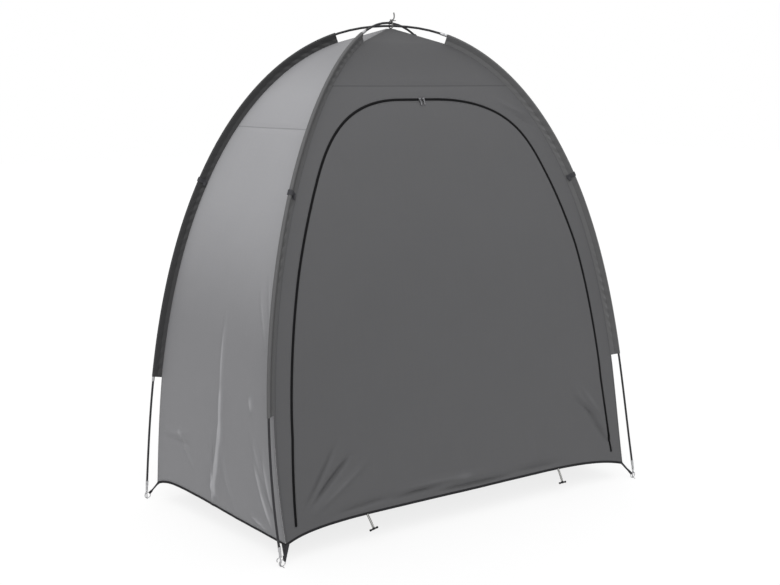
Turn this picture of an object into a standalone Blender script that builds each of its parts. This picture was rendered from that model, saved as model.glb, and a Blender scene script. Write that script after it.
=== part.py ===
"""Bike storage tent: two arched poles crossed over four fabric walls, with a zipped door in the front wall.

Metres, +Z up. The front wall faces -Y and the long side runs along X. Each corner leg lies in the vertical
plane from the crossing to its foot, so a leg is drawn as reach and height. The tent is modelled with its
crossing over the origin, and moved at the end so that the origin is on the ground under the middle of it.
"""

import math
from typing import NamedTuple

import bmesh
import bpy
from mathutils import Matrix, Vector, bvhtree, geometry


class Leg(NamedTuple):
    """One corner leg: its side along X and Y, the shape of its arc, and where its sleeve starts and stops."""

    side_x: int
    side_y: int
    fullness: float
    spread: float
    flare: float
    flare_power: float
    sleeve_top_reach: float
    sleeve_bottom: float


# Poles: the plan rectangle is set at shoulder height. Each leg spreads and flares from it by its own shares.
# The front left foot is pegged well inside the line of its pole, so its leg bows outwards instead.
PLAN_LENGTH = 1.51
PLAN_WIDTH = 0.82
POLE_RISE = 1.62
POLE_RADIUS = 0.00475
POLE_SIDES_RESOLUTION = 2
LEGS = {
    "front_left": Leg(-1, -1, 1.918, 1.10, -0.193, 1.887, 0.200, 0.485),
    "front_right": Leg(1, -1, 2.151, 0.994, 0.064, 5, 0.199, 0.480),
    "back_left": Leg(-1, 1, 2.153, 0.997, 0.030, 5, 0.184, 0.450),
    "back_right": Leg(1, 1, 2.153, 0.997, 0.030, 5, 0.200, 0.475),
}
UPPER_POLE = ("front_left", "back_right")
LOWER_POLE = ("back_left", "front_right")
CLEARANCE = 0.0003

# Feet: a metal tip on each pole end, which stands on a wire pin.
TIP_BOTTOM = 0.034
TIP_LENGTH = 0.034
TIP_RADIUS = 0.0062
POLE_IN_TIP = 0.018
PIN_RADIUS = 0.002
PIN_IN_TIP = 0.012
COLLAR_RADIUS = 0.0045
COLLAR_HEIGHT = 0.003
RING_RADIUS = 0.0105
RING_WIRE_RADIUS = 0.0015
RING_SHIFT = 0.004
HOOK_RADIUS = 0.0012
HOOK_OVERHANG = 0.002
STRAP_HEIGHT = 0.030
STRAP_END_HEIGHT = 0.008
STRAP_THICKNESS = 0.002
STRAP_REACH_ANGLE = math.radians(50)
STRAP_END_SAMPLES = 8

# Ferrules show where a pole goes into its sleeve.
FERRULE_RADIUS = 0.0058
FERRULE_LENGTHS = {"top": 0.026, "bottom": 0.016}

# Sleeves stand out from the corner seams as fins, with the pole in the outer edge.
FIN_WIDTH = 0.0277
FIN_WIDTH_AT_HEM = 0.0362
FIN_WIDENS_BELOW = 0.46
SLEEVE_CLOTH = 0.0008
SLEEVE_FOLD_GAP = 0.0002
SLEEVE_ROUND_STEPS = 6
SLEEVE_ROUND_START = math.radians(80)
GUY_LOOP_HEIGHT = 1.132
GUY_LOOP_RADIUS = 0.0065
GUY_LOOP_CLOTH = 0.0015
GUY_LOOP_WIDTH = 0.012

# Walls run between the corner seams, from near the peak down to arched hems.
APEX_DROP = 0.0105
APEX_OPENING = 0.014
WALL_THICKNESS = 0.002
WALL_COLUMNS = 10
HEM_CORNER = 0.053
HEM_BINDING = 0.008
HEM_ROOM = 0.060

# Hems: how high each arch rises, and how steeply it climbs from its first and from its second corner.
FRONT_HEM = (0.0415, 16, 11)
LEFT_HEM = (0.030, 13, 1.8)
RIGHT_HEM = (0.030, 12, 12)
BACK_HEM = (0.0415, 12, 12)



class ZipSide(NamedTuple):
    """One side of the door: its inset from the seam, what the shoulder adds, and the shoulder's curve."""

    inset: float
    shoulder_inset: float
    shoulder_pull: float
    flat_half: float
    top_pull: float


# Door: an upside-down U of zip, inset from the corner seams, a little less so towards the hem.
ZIP_SIDES = {
    "front_left": ZipSide(0.061, 0.0045, 0.153, 0.111, 0.2035),
    "front_right": ZipSide(0.067, 0.018, 0.122, 0.028, 0.308),
}
ZIP_TOP_DROP = 0.240
ZIP_SHOULDER_DROP = 0.4835
ZIP_DRIFT_DROP = 0.7435
ZIP_BOTTOM = 0.112
ZIP_STRAIGHT_FROM = 0.400
ZIP_LOW_INSET = -0.017
ZIP_WIDTH = 0.008
ZIP_SIDE_STEPS = 14
ZIP_SHOULDER_STEPS = 9
SLIDER_SIZE = (0.009, 0.005, 0.012)
SLIDER_SPACING = 0.0135
SLIDERS_MIDDLE = -0.020
PULLER_SIZE = (0.005, 0.0015, 0.024)

# Toggles on the front hem, and the tie that holds the peak up to the crossing.
TOGGLES = {"left": (0.211, math.radians(10)), "right": (0.779, math.radians(-1))}
TOGGLE_CORD_RADIUS = 0.004
TOGGLE_ROUTE = [
    (0.0, 0.0), (0.006, 0.0), (0.0118, 0.0035), (0.0164, 0.009), (0.0199, 0.0155), (0.0224, 0.0226),
    (0.0241, 0.031), (0.025, 0.0418),
]
TOGGLE_BAR_LENGTH = 0.032
TOGGLE_BAR_RADIUS = 0.004
TIE_RADIUS = 0.0015
TIE_ASIDE = 0.006
TIE_ROOM = 0.0009
TIE_LOOP_STEPS = 16
TIE_SQUARENESS = 0.75
TIE_KNOT_RADIUS = 0.0045
TIE_KNOT = (0.0055, -0.0045, 0.0130)
TIE_LONG_END = [(0.0134, -0.0040, 0.0142), (0.0185, -0.0040, 0.0260), (0.0151, -0.0040, 0.0405)]
TIE_SHORT_END = [(0.0145, -0.0070, 0.0128), (0.0228, -0.0055, 0.0133)]
TIE_TAPE_THICKNESS = 0.0022
TIE_TAPE_DROP = 0.010

# Stations along a leg: the pole, its sleeve and the walls share them, so that all bend at the same places.
TOP_STATIONS = 4
SLEEVE_STATIONS = 20
LOW_STATIONS = 4

CHARCOAL = ("charcoal_fabric", (0.11, 0.11, 0.115), 0.85, 0.0)
LIGHT_GREY = ("light_grey_fabric", (0.30, 0.30, 0.31), 0.85, 0.0)
SLEEVE_GREY = ("sleeve_fabric", (0.085, 0.085, 0.088), 0.85, 0.0)
BLACK_TAPE = ("black_webbing", (0.02, 0.02, 0.022), 0.8, 0.0)
POLE_GREY = ("fibreglass", (0.03, 0.03, 0.033), 0.45, 0.0)
STEEL = ("zinc_plated_steel", (0.55, 0.55, 0.56), 0.35, 1.0)
ZIP_BLACK = ("zip_black", (0.008, 0.008, 0.009), 0.5, 0.0)
GREY_CORD = ("grey_cord", (0.26, 0.26, 0.25), 0.8, 0.0)
BLACK_PLASTIC = ("black_plastic", (0.015, 0.015, 0.016), 0.4, 0.0)

HALF_DIAGONAL = math.hypot(PLAN_LENGTH, PLAN_WIDTH) / 2
DOOR_CUT_DEPTH = PLAN_WIDTH
CROSSING_LIFT = POLE_RADIUS + CLEARANCE / 2
CROSSING = Vector((0, 0, TIP_BOTTOM + POLE_RISE))
APEX_HEIGHT = TIP_BOTTOM + POLE_RISE - APEX_DROP
WALL_INSET = WALL_THICKNESS + CLEARANCE
FIN_HALF = SLEEVE_CLOTH + SLEEVE_FOLD_GAP
SEAM_TUCK = 0.7 * WALL_INSET
ZIP_TOP = APEX_HEIGHT - ZIP_TOP_DROP
ZIP_SHOULDER = APEX_HEIGHT - ZIP_SHOULDER_DROP
ZIP_DRIFT_FROM = APEX_HEIGHT - ZIP_DRIFT_DROP


def clear_scene():
    for obj in list(bpy.data.objects):
        bpy.data.objects.remove(obj)


def new_collection(name):
    collection = bpy.data.collections.new(name)
    bpy.context.scene.collection.children.link(collection)
    return collection


def material(finish):
    name, colour, roughness, metallic = finish
    made = bpy.data.materials.get(name)
    if made is None:
        made = bpy.data.materials.new(name)
        made.use_nodes = True
        shader = made.node_tree.nodes["Principled BSDF"]
        shader.inputs["Base Color"].default_value = (*colour, 1)
        shader.inputs["Roughness"].default_value = roughness
        shader.inputs["Metallic"].default_value = metallic
        made.diffuse_color = (*colour, 1)
    return made


def add_object(name, data, finish):
    obj = bpy.data.objects.new(name, data)
    obj.data.materials.append(material(finish))
    PARTS.objects.link(obj)
    return obj


def add_mesh(name, bm, finish):
    mesh = bpy.data.meshes.new(name)
    bm.to_mesh(mesh)
    bm.free()
    return add_object(name, mesh, finish)


def make_cutter(obj):
    PARTS.objects.unlink(obj)
    CUTTERS.objects.link(obj)
    obj.hide_render = True
    obj.display_type = "WIRE"
    return obj


def boolean(obj, operation, other):
    modifier = obj.modifiers.new(other.name, "BOOLEAN")
    modifier.operation = operation
    modifier.solver = "EXACT"
    modifier.object = other


def curve_to_mesh(obj):
    """Replaces a curve object by a mesh with its caps welded on."""
    graph = bpy.context.evaluated_depsgraph_get()
    name, finish = obj.name, obj.data.materials[0]
    mesh = bpy.data.meshes.new_from_object(obj.evaluated_get(graph))
    bm = bmesh.new()
    bm.from_mesh(mesh)
    bmesh.ops.remove_doubles(bm, verts=bm.verts, dist=0.00001)
    bm.to_mesh(mesh)
    bm.free()
    bpy.data.objects.remove(obj)
    made = bpy.data.objects.new(name, mesh)
    mesh.materials.clear()
    mesh.materials.append(finish)
    PARTS.objects.link(made)
    return made


def sheet(name, across, down, place, outside, thickness, finish, smooth=True):
    """A grid whose points go where place(i, j) says, thickened away from the side that outside points to."""
    bm = bmesh.new()
    bmesh.ops.create_grid(bm, x_segments=across, y_segments=down, size=0.5)
    for vert in bm.verts:
        i = round((vert.co.x + 0.5) * across)
        j = round((vert.co.y + 0.5) * down)
        vert.co = place(i, j)
    bm.normal_update()
    facing = sum((face.normal * face.calc_area() for face in bm.faces), Vector())
    if facing.dot(outside) < 0:
        bmesh.ops.reverse_faces(bm, faces=bm.faces)
    for face in bm.faces:
        face.smooth = smooth
    obj = add_mesh(name, bm, finish)
    solid = obj.modifiers.new("Thickness", "SOLIDIFY")
    solid.thickness = thickness
    solid.offset = -1
    solid.use_even_offset = True
    return obj


def tube(name, points, radius, finish, resolution=2):
    curve = bpy.data.curves.new(name, "CURVE")
    curve.dimensions = "3D"
    curve.bevel_depth = radius
    curve.bevel_resolution = resolution
    curve.use_fill_caps = True
    spline = curve.splines.new("POLY")
    spline.points.add(len(points) - 1)
    for point, place in zip(spline.points, points):
        point.co = (*place, 1)
    return add_object(name, curve, finish)


def turned(name, profile, steps, finish, place, direction):
    """A closed profile of (radius, height) points turned round its axis, which then runs along direction."""
    bm = bmesh.new()
    verts = [bm.verts.new((radius, 0, height)) for radius, height in profile]
    for first, second in zip(verts, verts[1:] + verts[:1]):
        bm.edges.new((first, second))
    obj = add_mesh(name, bm, finish)
    screw = obj.modifiers.new("Turn", "SCREW")
    screw.steps = steps
    screw.render_steps = steps
    screw.use_merge_vertices = True
    screw.merge_threshold = 0.00001
    screw.use_smooth_shade = True
    turn = direction.to_track_quat("Z", "Y").to_matrix().to_4x4()
    obj.matrix_world = Matrix.Translation(place) @ turn
    return obj


def band(inner, outer, low, high):
    """Profile of a plain tube, running down its outer side."""
    return [(outer, high), (outer, low), (inner, low), (inner, high)]


def cylinder(name, radius, start, end, finish, segments=12):
    bm = bmesh.new()
    length = (end - start).length
    turn = (end - start).to_track_quat("Z", "Y").to_matrix().to_4x4()
    bmesh.ops.create_cone(
        bm, cap_ends=True, segments=segments, radius1=radius, radius2=radius, depth=length,
        matrix=Matrix.Translation((start + end) / 2) @ turn,
    )
    return add_mesh(name, bm, finish)


def solve(rising, target, low, high):
    """The value at which a rising function reaches the target."""
    for _ in range(60):
        middle = (low + high) / 2
        if rising(middle) < target:
            low = middle
        else:
            high = middle
    return low


def outward(corner):
    shape = LEGS[corner]
    return Vector((shape.side_x * PLAN_LENGTH, shape.side_y * PLAN_WIDTH, 0)).normalized()


def in_plan(corner, reach, height):
    return outward(corner) * reach + Vector((0, 0, height))


def leg(corner, angle):
    """Reach and height of the pole's middle line, at an angle from 0 at the crossing to 90 degrees."""
    shape = LEGS[corner]
    lift = CROSSING_LIFT if corner in UPPER_POLE else -CROSSING_LIFT
    out = math.sin(angle) ** (2 / shape.fullness)
    up = math.cos(angle) ** (2 / shape.fullness)
    reach = HALF_DIAGONAL * shape.spread * out * (1 + shape.flare * (1 - up) ** shape.flare_power)
    return reach, TIP_BOTTOM + (POLE_RISE + lift) * up


def leg_direction(corner, angle):
    """Unit step down the leg, as reach and height."""
    step = 0.001
    reach_1, height_1 = leg(corner, angle - step)
    reach_2, height_2 = leg(corner, angle + step)
    length = math.hypot(reach_2 - reach_1, height_2 - height_1)
    return (reach_2 - reach_1) / length, (height_2 - height_1) / length


def angle_at_height(corner, height):
    return solve(lambda angle: -leg(corner, angle)[1], -height, 0, math.pi / 2)


def angle_at_reach(corner, reach):
    return solve(lambda angle: leg(corner, angle)[0], reach, 0, math.radians(60))


def steps_between(first, last, count):
    return [first + (last - first) * k / count for k in range(count + 1)]


def stations(corner):
    """Leg angles from the crossing to the pole's end, with the sleeve's two ends among them."""
    top = angle_at_reach(corner, LEGS[corner].sleeve_top_reach)
    bottom = angle_at_height(corner, LEGS[corner].sleeve_bottom)
    end = angle_at_height(corner, TIP_BOTTOM + TIP_LENGTH - POLE_IN_TIP)
    return (
        steps_between(0, top, TOP_STATIONS)
        + steps_between(top, bottom, SLEEVE_STATIONS)[1:]
        + steps_between(bottom, end, LOW_STATIONS)[1:]
    )


def fin_width(height):
    low_part = max(0.0, (FIN_WIDENS_BELOW - height) / (FIN_WIDENS_BELOW - HEM_CORNER))
    return FIN_WIDTH + (FIN_WIDTH_AT_HEM - FIN_WIDTH) * low_part


def below_pole(corner, angle, width):
    """Reach and height of a point that lies width inside the pole's middle line."""
    reach, height = leg(corner, angle)
    along, fall = leg_direction(corner, angle)
    return reach + fall * width, height - along * width


def seam(corner):
    """The corner seam as (reach, height) points: straight down to the sleeve, then inside the pole."""
    angles = stations(corner)[TOP_STATIONS : TOP_STATIONS + SLEEVE_STATIONS + 1]
    lowest = HEM_CORNER + HEM_BINDING + HEM_ROOM
    heights = steps_between(LEGS[corner].sleeve_bottom, lowest, LOW_STATIONS)
    angles += [angle_at_height(corner, height) for height in heights[1:]]
    low = [below_pole(corner, angle, fin_width(leg(corner, angle)[1])) for angle in angles]
    reach_1, height_1 = low[0]
    slope = (height_1 - APEX_HEIGHT) / reach_1
    reaches = steps_between(APEX_OPENING, reach_1, TOP_STATIONS)
    high = [(reach, APEX_HEIGHT + slope * reach) for reach in reaches]
    foot_angle = angle_at_height(corner, HEM_CORNER)
    foot_point = below_pole(corner, foot_angle, fin_width(HEM_CORNER))
    return high[:-1] + low + [seam_at([low[-1], foot_point], HEM_CORNER + HEM_BINDING)]


def seam_at(points, height):
    """The seam's point at a height, carried on past its last point where it has to be."""
    pairs = list(zip(points, points[1:]))
    chosen = next((pair for pair in pairs if pair[1][1] <= height), pairs[-1])
    (reach_1, height_1), (reach_2, height_2) = chosen
    share = (height_1 - height) / (height_1 - height_2)
    return reach_1 + (reach_2 - reach_1) * share, height


def seam_place(corner, height):
    return in_plan(corner, *seam_at(seam(corner), height))


def arch(share, hem_shape):
    """How far a hem has climbed above its corners, at a share of the way from its first to its second."""
    rise, first_power, second_power = hem_shape
    return rise * (1 - (1 - share) ** first_power) * (1 - share**second_power)


def column_share(i):
    """Columns crowd towards the corners, where the hems bend."""
    return (1 - math.cos(math.pi * i / WALL_COLUMNS)) / 2


def wall_rows(first_corner, second_corner):
    """Pairs of wall-edge points, inset from the two corner seams so that neighbouring walls stay clear."""
    corners = (first_corner, second_corner)
    lines = [[in_plan(corner, *point) for point in seam(corner)] for corner in corners]
    last = len(lines[0]) - 1
    rows = []
    for k in range(last + 1):
        first, second = lines[0][k], lines[1][k]
        across = (second - first).normalized()
        runs = [(line[min(k + 1, last)] - line[max(k - 1, 0)]).normalized() for line in lines]
        insets = [across * (WALL_INSET / math.sqrt(1 - run.dot(across) ** 2)) for run in runs]
        rows.append((first + insets[0], second - insets[1]))
    return rows


def hem_line(rows, share):
    """The wall's last two rows at a share of its width, between which its arched hem runs."""
    return [first.lerp(second, share) for first, second in rows[:-3:-1]]


def hem_point(rows, share, hem_shape, drop=0):
    """A point at the wall's arched edge, or some way below it in line with the wall."""
    low, high = hem_line(rows, share)
    return low.lerp(high, (arch(share, hem_shape) - drop) / (high.z - low.z))


def wall(name, first_corner, second_corner, outside, hem_shape, finish):
    rows = wall_rows(first_corner, second_corner)

    def place(i, j):
        share = column_share(i)
        if j == len(rows) - 1:
            return hem_point(rows, share, hem_shape)
        return rows[j][0].lerp(rows[j][1], share)

    return sheet(name, WALL_COLUMNS, len(rows) - 1, place, Vector(outside), WALL_THICKNESS, finish)


def hem(name, first_corner, second_corner, outside, hem_shape):
    """The dark binding along a wall's lower edge."""
    rows = wall_rows(first_corner, second_corner)

    def place(i, j):
        return hem_point(rows, column_share(i), hem_shape, HEM_BINDING if j else CLEARANCE)

    return sheet(name, WALL_COLUMNS, 1, place, Vector(outside), WALL_THICKNESS, BLACK_TAPE)


def door_side(corner, height, grow):
    """The middle of the zip at a height, as an outline point in X and Z, moved outwards by grow."""
    zip_side = ZIP_SIDES[corner]
    low_part = max(0.0, (ZIP_STRAIGHT_FROM - height) / (ZIP_STRAIGHT_FROM - ZIP_BOTTOM))
    high_part = max(0.0, (height - ZIP_DRIFT_FROM) / (ZIP_SHOULDER - ZIP_DRIFT_FROM))
    inset = zip_side.inset + ZIP_LOW_INSET * low_part + zip_side.shoulder_inset * high_part - grow
    return Vector((seam_place(corner, height).x - LEGS[corner].side_x * inset, 0, height))


def door_outline(grow, drop=0):
    """Outline of the door in X and Z: up both sides at an inset from the seams, with rounded shoulders."""
    outline = []
    for corner in ("front_left", "front_right"):
        side_x, zip_side = LEGS[corner].side_x, ZIP_SIDES[corner]
        heights = steps_between(ZIP_BOTTOM, ZIP_SHOULDER, ZIP_SIDE_STEPS)
        side = [door_side(corner, height, grow) for height in heights]
        lean = (side[-1] - side[-2]).normalized()
        top = Vector((side_x * zip_side.flat_half, 0, ZIP_TOP + grow))
        shoulder = geometry.interpolate_bezier(
            side[-1], side[-1] + lean * zip_side.shoulder_pull,
            top + Vector((side_x * zip_side.top_pull, 0, 0)), top, ZIP_SHOULDER_STEPS,
        )
        below = [side[0] - Vector((0, 0, drop))] if drop else []
        half = below + side + list(shoulder[1:])
        outline += half if side_x < 0 else half[::-1]
    return outline


def door_prism(name, points):
    """An outline in X and Z drawn out along Y, through the front wall."""
    curve = bpy.data.curves.new(name, "CURVE")
    curve.dimensions = "2D"
    curve.fill_mode = "BOTH"
    curve.extrude = DOOR_CUT_DEPTH / 2
    spline = curve.splines.new("POLY")
    spline.points.add(len(points) - 1)
    spline.use_cyclic_u = True
    for point, place in zip(spline.points, points):
        point.co = (place.x, place.z, 0, 1)
    obj = add_object(name, curve, ZIP_BLACK)
    obj.matrix_world = Matrix.Translation((0, -DOOR_CUT_DEPTH / 2, 0)) @ Matrix.Rotation(math.pi / 2, 4, "X")
    bpy.context.view_layer.update()
    world = obj.matrix_world.copy()
    made = curve_to_mesh(obj)
    made.matrix_world = world
    return make_cutter(made)


def front_pieces():
    front = ("front_left", "front_right", (0, -1, 0), FRONT_HEM)
    half = ZIP_WIDTH / 2
    opening = door_prism("door_opening", door_outline(half, CLEARANCE))
    door_edge = door_prism("door_edge", door_outline(-half))
    zip_band = door_prism("zip_band", door_outline(half - CLEARANCE) + door_outline(CLEARANCE - half)[::-1])
    boolean(wall("front_wall", *front, CHARCOAL), "DIFFERENCE", opening)
    boolean(wall("door_panel", *front, CHARCOAL), "INTERSECT", door_edge)
    boolean(wall("door_zip", *front, ZIP_BLACK), "INTERSECT", zip_band)


def front_surface():
    """The front wall's outer side, to find places on it with."""
    rows = wall_rows("front_left", "front_right")
    shares = [column_share(i) for i in range(WALL_COLUMNS + 1)]
    points = [first.lerp(second, share) for first, second in rows for share in shares]
    starts = [len(shares) * j + i for j in range(len(rows) - 1) for i in range(WALL_COLUMNS)]
    faces = [(k, k + 1, k + len(shares) + 1, k + len(shares)) for k in starts]
    return bvhtree.BVHTree.FromPolygons(points, faces)


def sliders():
    """Two zip sliders side by side at the top of the door, each with its puller hanging from it."""
    surface = front_surface()
    for side, name in ((-1, "zip_slider_left"), (1, "zip_slider_right")):
        x = SLIDERS_MIDDLE + side * SLIDER_SPACING / 2
        middle, lower = (
            surface.ray_cast(Vector((x, -PLAN_WIDTH, height)), Vector((0, 1, 0)))[0]
            for height in (ZIP_TOP, ZIP_TOP - PULLER_SIZE[2])
        )
        down = (lower - middle).normalized()
        out = down.cross(Vector((1, 0, 0))).normalized()
        if out.y > 0:
            out = -out
        turn = Matrix((Vector((1, 0, 0)), -out, -down)).transposed().to_4x4()
        body_at = middle + out * (CLEARANCE + SLIDER_SIZE[1] / 2)
        puller_drop = SLIDER_SIZE[2] / 2 + PULLER_SIZE[2] / 2 - PULLER_SIZE[1]
        body = box(name, SLIDER_SIZE, Matrix.Translation(body_at) @ turn, STEEL)
        puller_at = body_at + down * puller_drop
        puller = box(name + "_puller", PULLER_SIZE, Matrix.Translation(puller_at) @ turn, STEEL)
        boolean(body, "UNION", make_cutter(puller))


def box(name, size, matrix, finish):
    bm = bmesh.new()
    bmesh.ops.create_cube(bm, size=1, matrix=matrix @ Matrix.Diagonal((*size, 1)))
    return add_mesh(name, bm, finish)


def pole(name, first_corner, second_corner):
    first = [in_plan(first_corner, *leg(first_corner, angle)) for angle in stations(first_corner)]
    second = [in_plan(second_corner, *leg(second_corner, angle)) for angle in stations(second_corner)]
    tube(name, first[::-1] + second[1:], POLE_RADIUS, POLE_GREY, POLE_SIDES_RESOLUTION)


def sleeve_profile(width):
    """Inner line of the sleeve's cloth in (towards the seam, sideways): round the pole and back."""
    sweep = 2 * math.pi - 2 * SLEEVE_ROUND_START
    step = sweep / SLEEVE_ROUND_STEPS
    radius = (POLE_RADIUS + CLEARANCE) / math.cos(step / 2)
    around = [SLEEVE_ROUND_START + step * k for k in range(SLEEVE_ROUND_STEPS + 1)]
    points = [(radius * math.cos(angle), radius * math.sin(angle)) for angle in around]
    end = width + SEAM_TUCK
    return [(end, SLEEVE_FOLD_GAP), *points, (end, -SLEEVE_FOLD_GAP)]


def sleeve(corner):
    angles = stations(corner)[TOP_STATIONS : TOP_STATIONS + SLEEVE_STATIONS + 1]
    side = outward(corner).cross(Vector((0, 0, 1)))

    def place(i, j):
        reach, height = leg(corner, angles[j])
        inwards, sideways = sleeve_profile(fin_width(height))[i]
        along, fall = leg_direction(corner, angles[j])
        return in_plan(corner, reach + fall * inwards, height - along * inwards) + side * sideways

    across = len(sleeve_profile(FIN_WIDTH)) - 1
    down = len(angles) - 1
    obj = sheet("sleeve_" + corner, across, down, place, outward(corner), SLEEVE_CLOTH, SLEEVE_GREY)
    obj.modifiers["Thickness"].offset = 1


def straight_stretch(corner, first, second):
    """A station's point on the pole and the unit step from it to another one."""
    angles = stations(corner)
    start = in_plan(corner, *leg(corner, angles[first]))
    return start, (in_plan(corner, *leg(corner, angles[second])) - start).normalized()


def ferrule(corner, sleeve_end):
    """A metal ferrule on the straight stretch of pole just outside the sleeve's upper or lower end."""
    edge, beyond = (TOP_STATIONS, -1) if sleeve_end == "top" else (TOP_STATIONS + SLEEVE_STATIONS, 1)
    start, direction = straight_stretch(corner, edge, edge + beyond)
    profile = band(POLE_RADIUS + CLEARANCE, FERRULE_RADIUS, 0, FERRULE_LENGTHS[sleeve_end])
    turned("ferrule_" + corner, profile, 16, STEEL, start + direction * CLEARANCE, direction)


def guy_loop(corner):
    angle = angle_at_height(corner, GUY_LOOP_HEIGHT)
    along, fall = leg_direction(corner, angle)
    sleeve_outside = POLE_RADIUS + SLEEVE_CLOTH + 2 * CLEARANCE
    centre = below_pole(corner, angle, -(sleeve_outside + GUY_LOOP_CLOTH + GUY_LOOP_RADIUS))
    direction = outward(corner) * along + Vector((0, 0, fall))
    half = GUY_LOOP_WIDTH / 2
    profile = band(GUY_LOOP_RADIUS, GUY_LOOP_RADIUS + GUY_LOOP_CLOTH, -half, half)
    turned("guy_loop_" + corner, profile, 12, BLACK_TAPE, in_plan(corner, *centre), direction)


def foot(corner):
    """Tip, pin, ring and strap of one corner."""
    side_x, side_y = LEGS[corner].side_x, LEGS[corner].side_y
    pole_end, up = straight_stretch(corner, -1, -2)
    tip_base = pole_end - up * (TIP_LENGTH - POLE_IN_TIP)
    profile = band(POLE_RADIUS + CLEARANCE, TIP_RADIUS, 0, TIP_LENGTH)
    turned("pole_tip_" + corner, profile, 16, STEEL, tip_base, up)

    foot_x, foot_y = tip_base.x, tip_base.y
    collar_top = tip_base.z - TIP_RADIUS * math.hypot(up.x, up.y) - CLEARANCE
    pin = cylinder(
        "foot_pin_" + corner, PIN_RADIUS,
        Vector((foot_x, foot_y, 0)), Vector((foot_x, foot_y, TIP_BOTTOM + PIN_IN_TIP)), STEEL,
    )
    collar = cylinder(
        "collar_" + corner, COLLAR_RADIUS,
        Vector((foot_x, foot_y, collar_top - COLLAR_HEIGHT)), Vector((foot_x, foot_y, collar_top)), STEEL,
    )
    boolean(pin, "UNION", make_cutter(collar))

    ring_outer = RING_RADIUS + RING_WIRE_RADIUS
    ring_inner = RING_RADIUS - RING_WIRE_RADIUS
    ring_out = PIN_RADIUS + RING_WIRE_RADIUS + CLEARANCE
    ring_centre = Vector((foot_x - side_x * RING_SHIFT, foot_y + side_y * ring_out, ring_outer))
    hook_room = ring_inner - HOOK_RADIUS - CLEARANCE
    hook_height = ring_outer + math.sqrt(hook_room**2 - RING_SHIFT**2)
    hook_end = foot_y + side_y * (ring_out + RING_WIRE_RADIUS + HOOK_OVERHANG)
    hook = cylinder(
        "hook_" + corner, HOOK_RADIUS,
        Vector((foot_x, foot_y, hook_height)), Vector((foot_x, hook_end, hook_height)), STEEL,
    )
    boolean(pin, "UNION", make_cutter(hook))
    bpy.ops.mesh.primitive_torus_add(
        major_radius=RING_RADIUS, minor_radius=RING_WIRE_RADIUS, major_segments=20, minor_segments=6,
        location=ring_centre, rotation=(math.pi / 2, 0, 0),
    )
    ring = bpy.context.object
    ring.name = "peg_ring_" + corner
    ring.data.shade_smooth()
    ring.data.materials.append(material(STEEL))
    for collection in list(ring.users_collection):
        collection.objects.unlink(ring)
    PARTS.objects.link(ring)
    strap(corner, ring_centre)


def strap(corner, ring_centre):
    """Tapered webbing, flat from the wall's lower corner to the ring, which it only just clears."""
    top = seam_place(corner, HEM_CORNER + STRAP_HEIGHT)
    low = seam_place(corner, HEM_CORNER)
    start = (top + low) / 2
    side_x = LEGS[corner].side_x
    from_ring = Vector((-side_x * math.sin(STRAP_REACH_ANGLE), 0, math.cos(STRAP_REACH_ANGLE)))

    def end_frame(room):
        end = ring_centre + from_ring * (RING_RADIUS + RING_WIRE_RADIUS + room)
        run = (end - start).normalized()
        flat = (top - low).cross(run).normalized()
        return end, flat * (STRAP_THICKNESS / 2), run.cross(flat) * (STRAP_END_HEIGHT / 2)

    def ring_gap(room):
        end, thick, edge = end_frame(room)
        gaps = []
        for share in steps_between(-1, 1, STRAP_END_SAMPLES):
            for side in (-1, 0, 1):
                away = end + edge * share + thick * side - ring_centre
                gaps.append(math.hypot(math.hypot(away.x, away.z) - RING_RADIUS, away.y) - RING_WIRE_RADIUS)
        return min(gaps)

    end, thick, edge = end_frame(solve(ring_gap, CLEARANCE, 0, STRAP_END_HEIGHT))
    bm = bmesh.new()
    bmesh.ops.create_cube(bm, size=2)
    for vert in bm.verts:
        if vert.co.x > 0:
            middle = end + edge * vert.co.z
        else:
            middle = top if vert.co.z > 0 else low
        vert.co = middle + thick * vert.co.y
    bmesh.ops.recalc_face_normals(bm, faces=bm.faces)
    add_mesh("corner_strap_" + corner, bm, BLACK_TAPE)


def toggle(name):
    """A short cord that stands out from the front hem and hangs, with a bar across its end."""
    share, lean = TOGGLES[name]
    rows = wall_rows("front_left", "front_right")
    low, high = hem_line(rows, share)
    room = CLEARANCE + TOGGLE_CORD_RADIUS * abs((high.y - low.y) / (high.z - low.z))
    top = hem_point(rows, share, FRONT_HEM, HEM_BINDING / 2)
    downwards = Vector((math.sin(lean), 0, -math.cos(lean)))
    forwards = Vector((0, -1, 0))
    points = [top + forwards * (out + room) + downwards * down for out, down in TOGGLE_ROUTE]
    tube("toggle_cord_" + name, points, TOGGLE_CORD_RADIUS, GREY_CORD)
    run = (points[-1] - points[-2]).normalized()
    centre = points[-1] + run * (TOGGLE_BAR_RADIUS + CLEARANCE)
    half = forwards.cross(downwards) * (TOGGLE_BAR_LENGTH / 2)
    cylinder("toggle_bar_" + name, TOGGLE_BAR_RADIUS, centre - half, centre + half, BLACK_PLASTIC)


def tie_end(name, route):
    """A loose end of the tie, from the middle of the knot."""
    points = [CROSSING + Vector(point) for point in [TIE_KNOT, *route]]
    return curve_to_mesh(tube(name, points, TIE_RADIUS, GREY_CORD))


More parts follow.
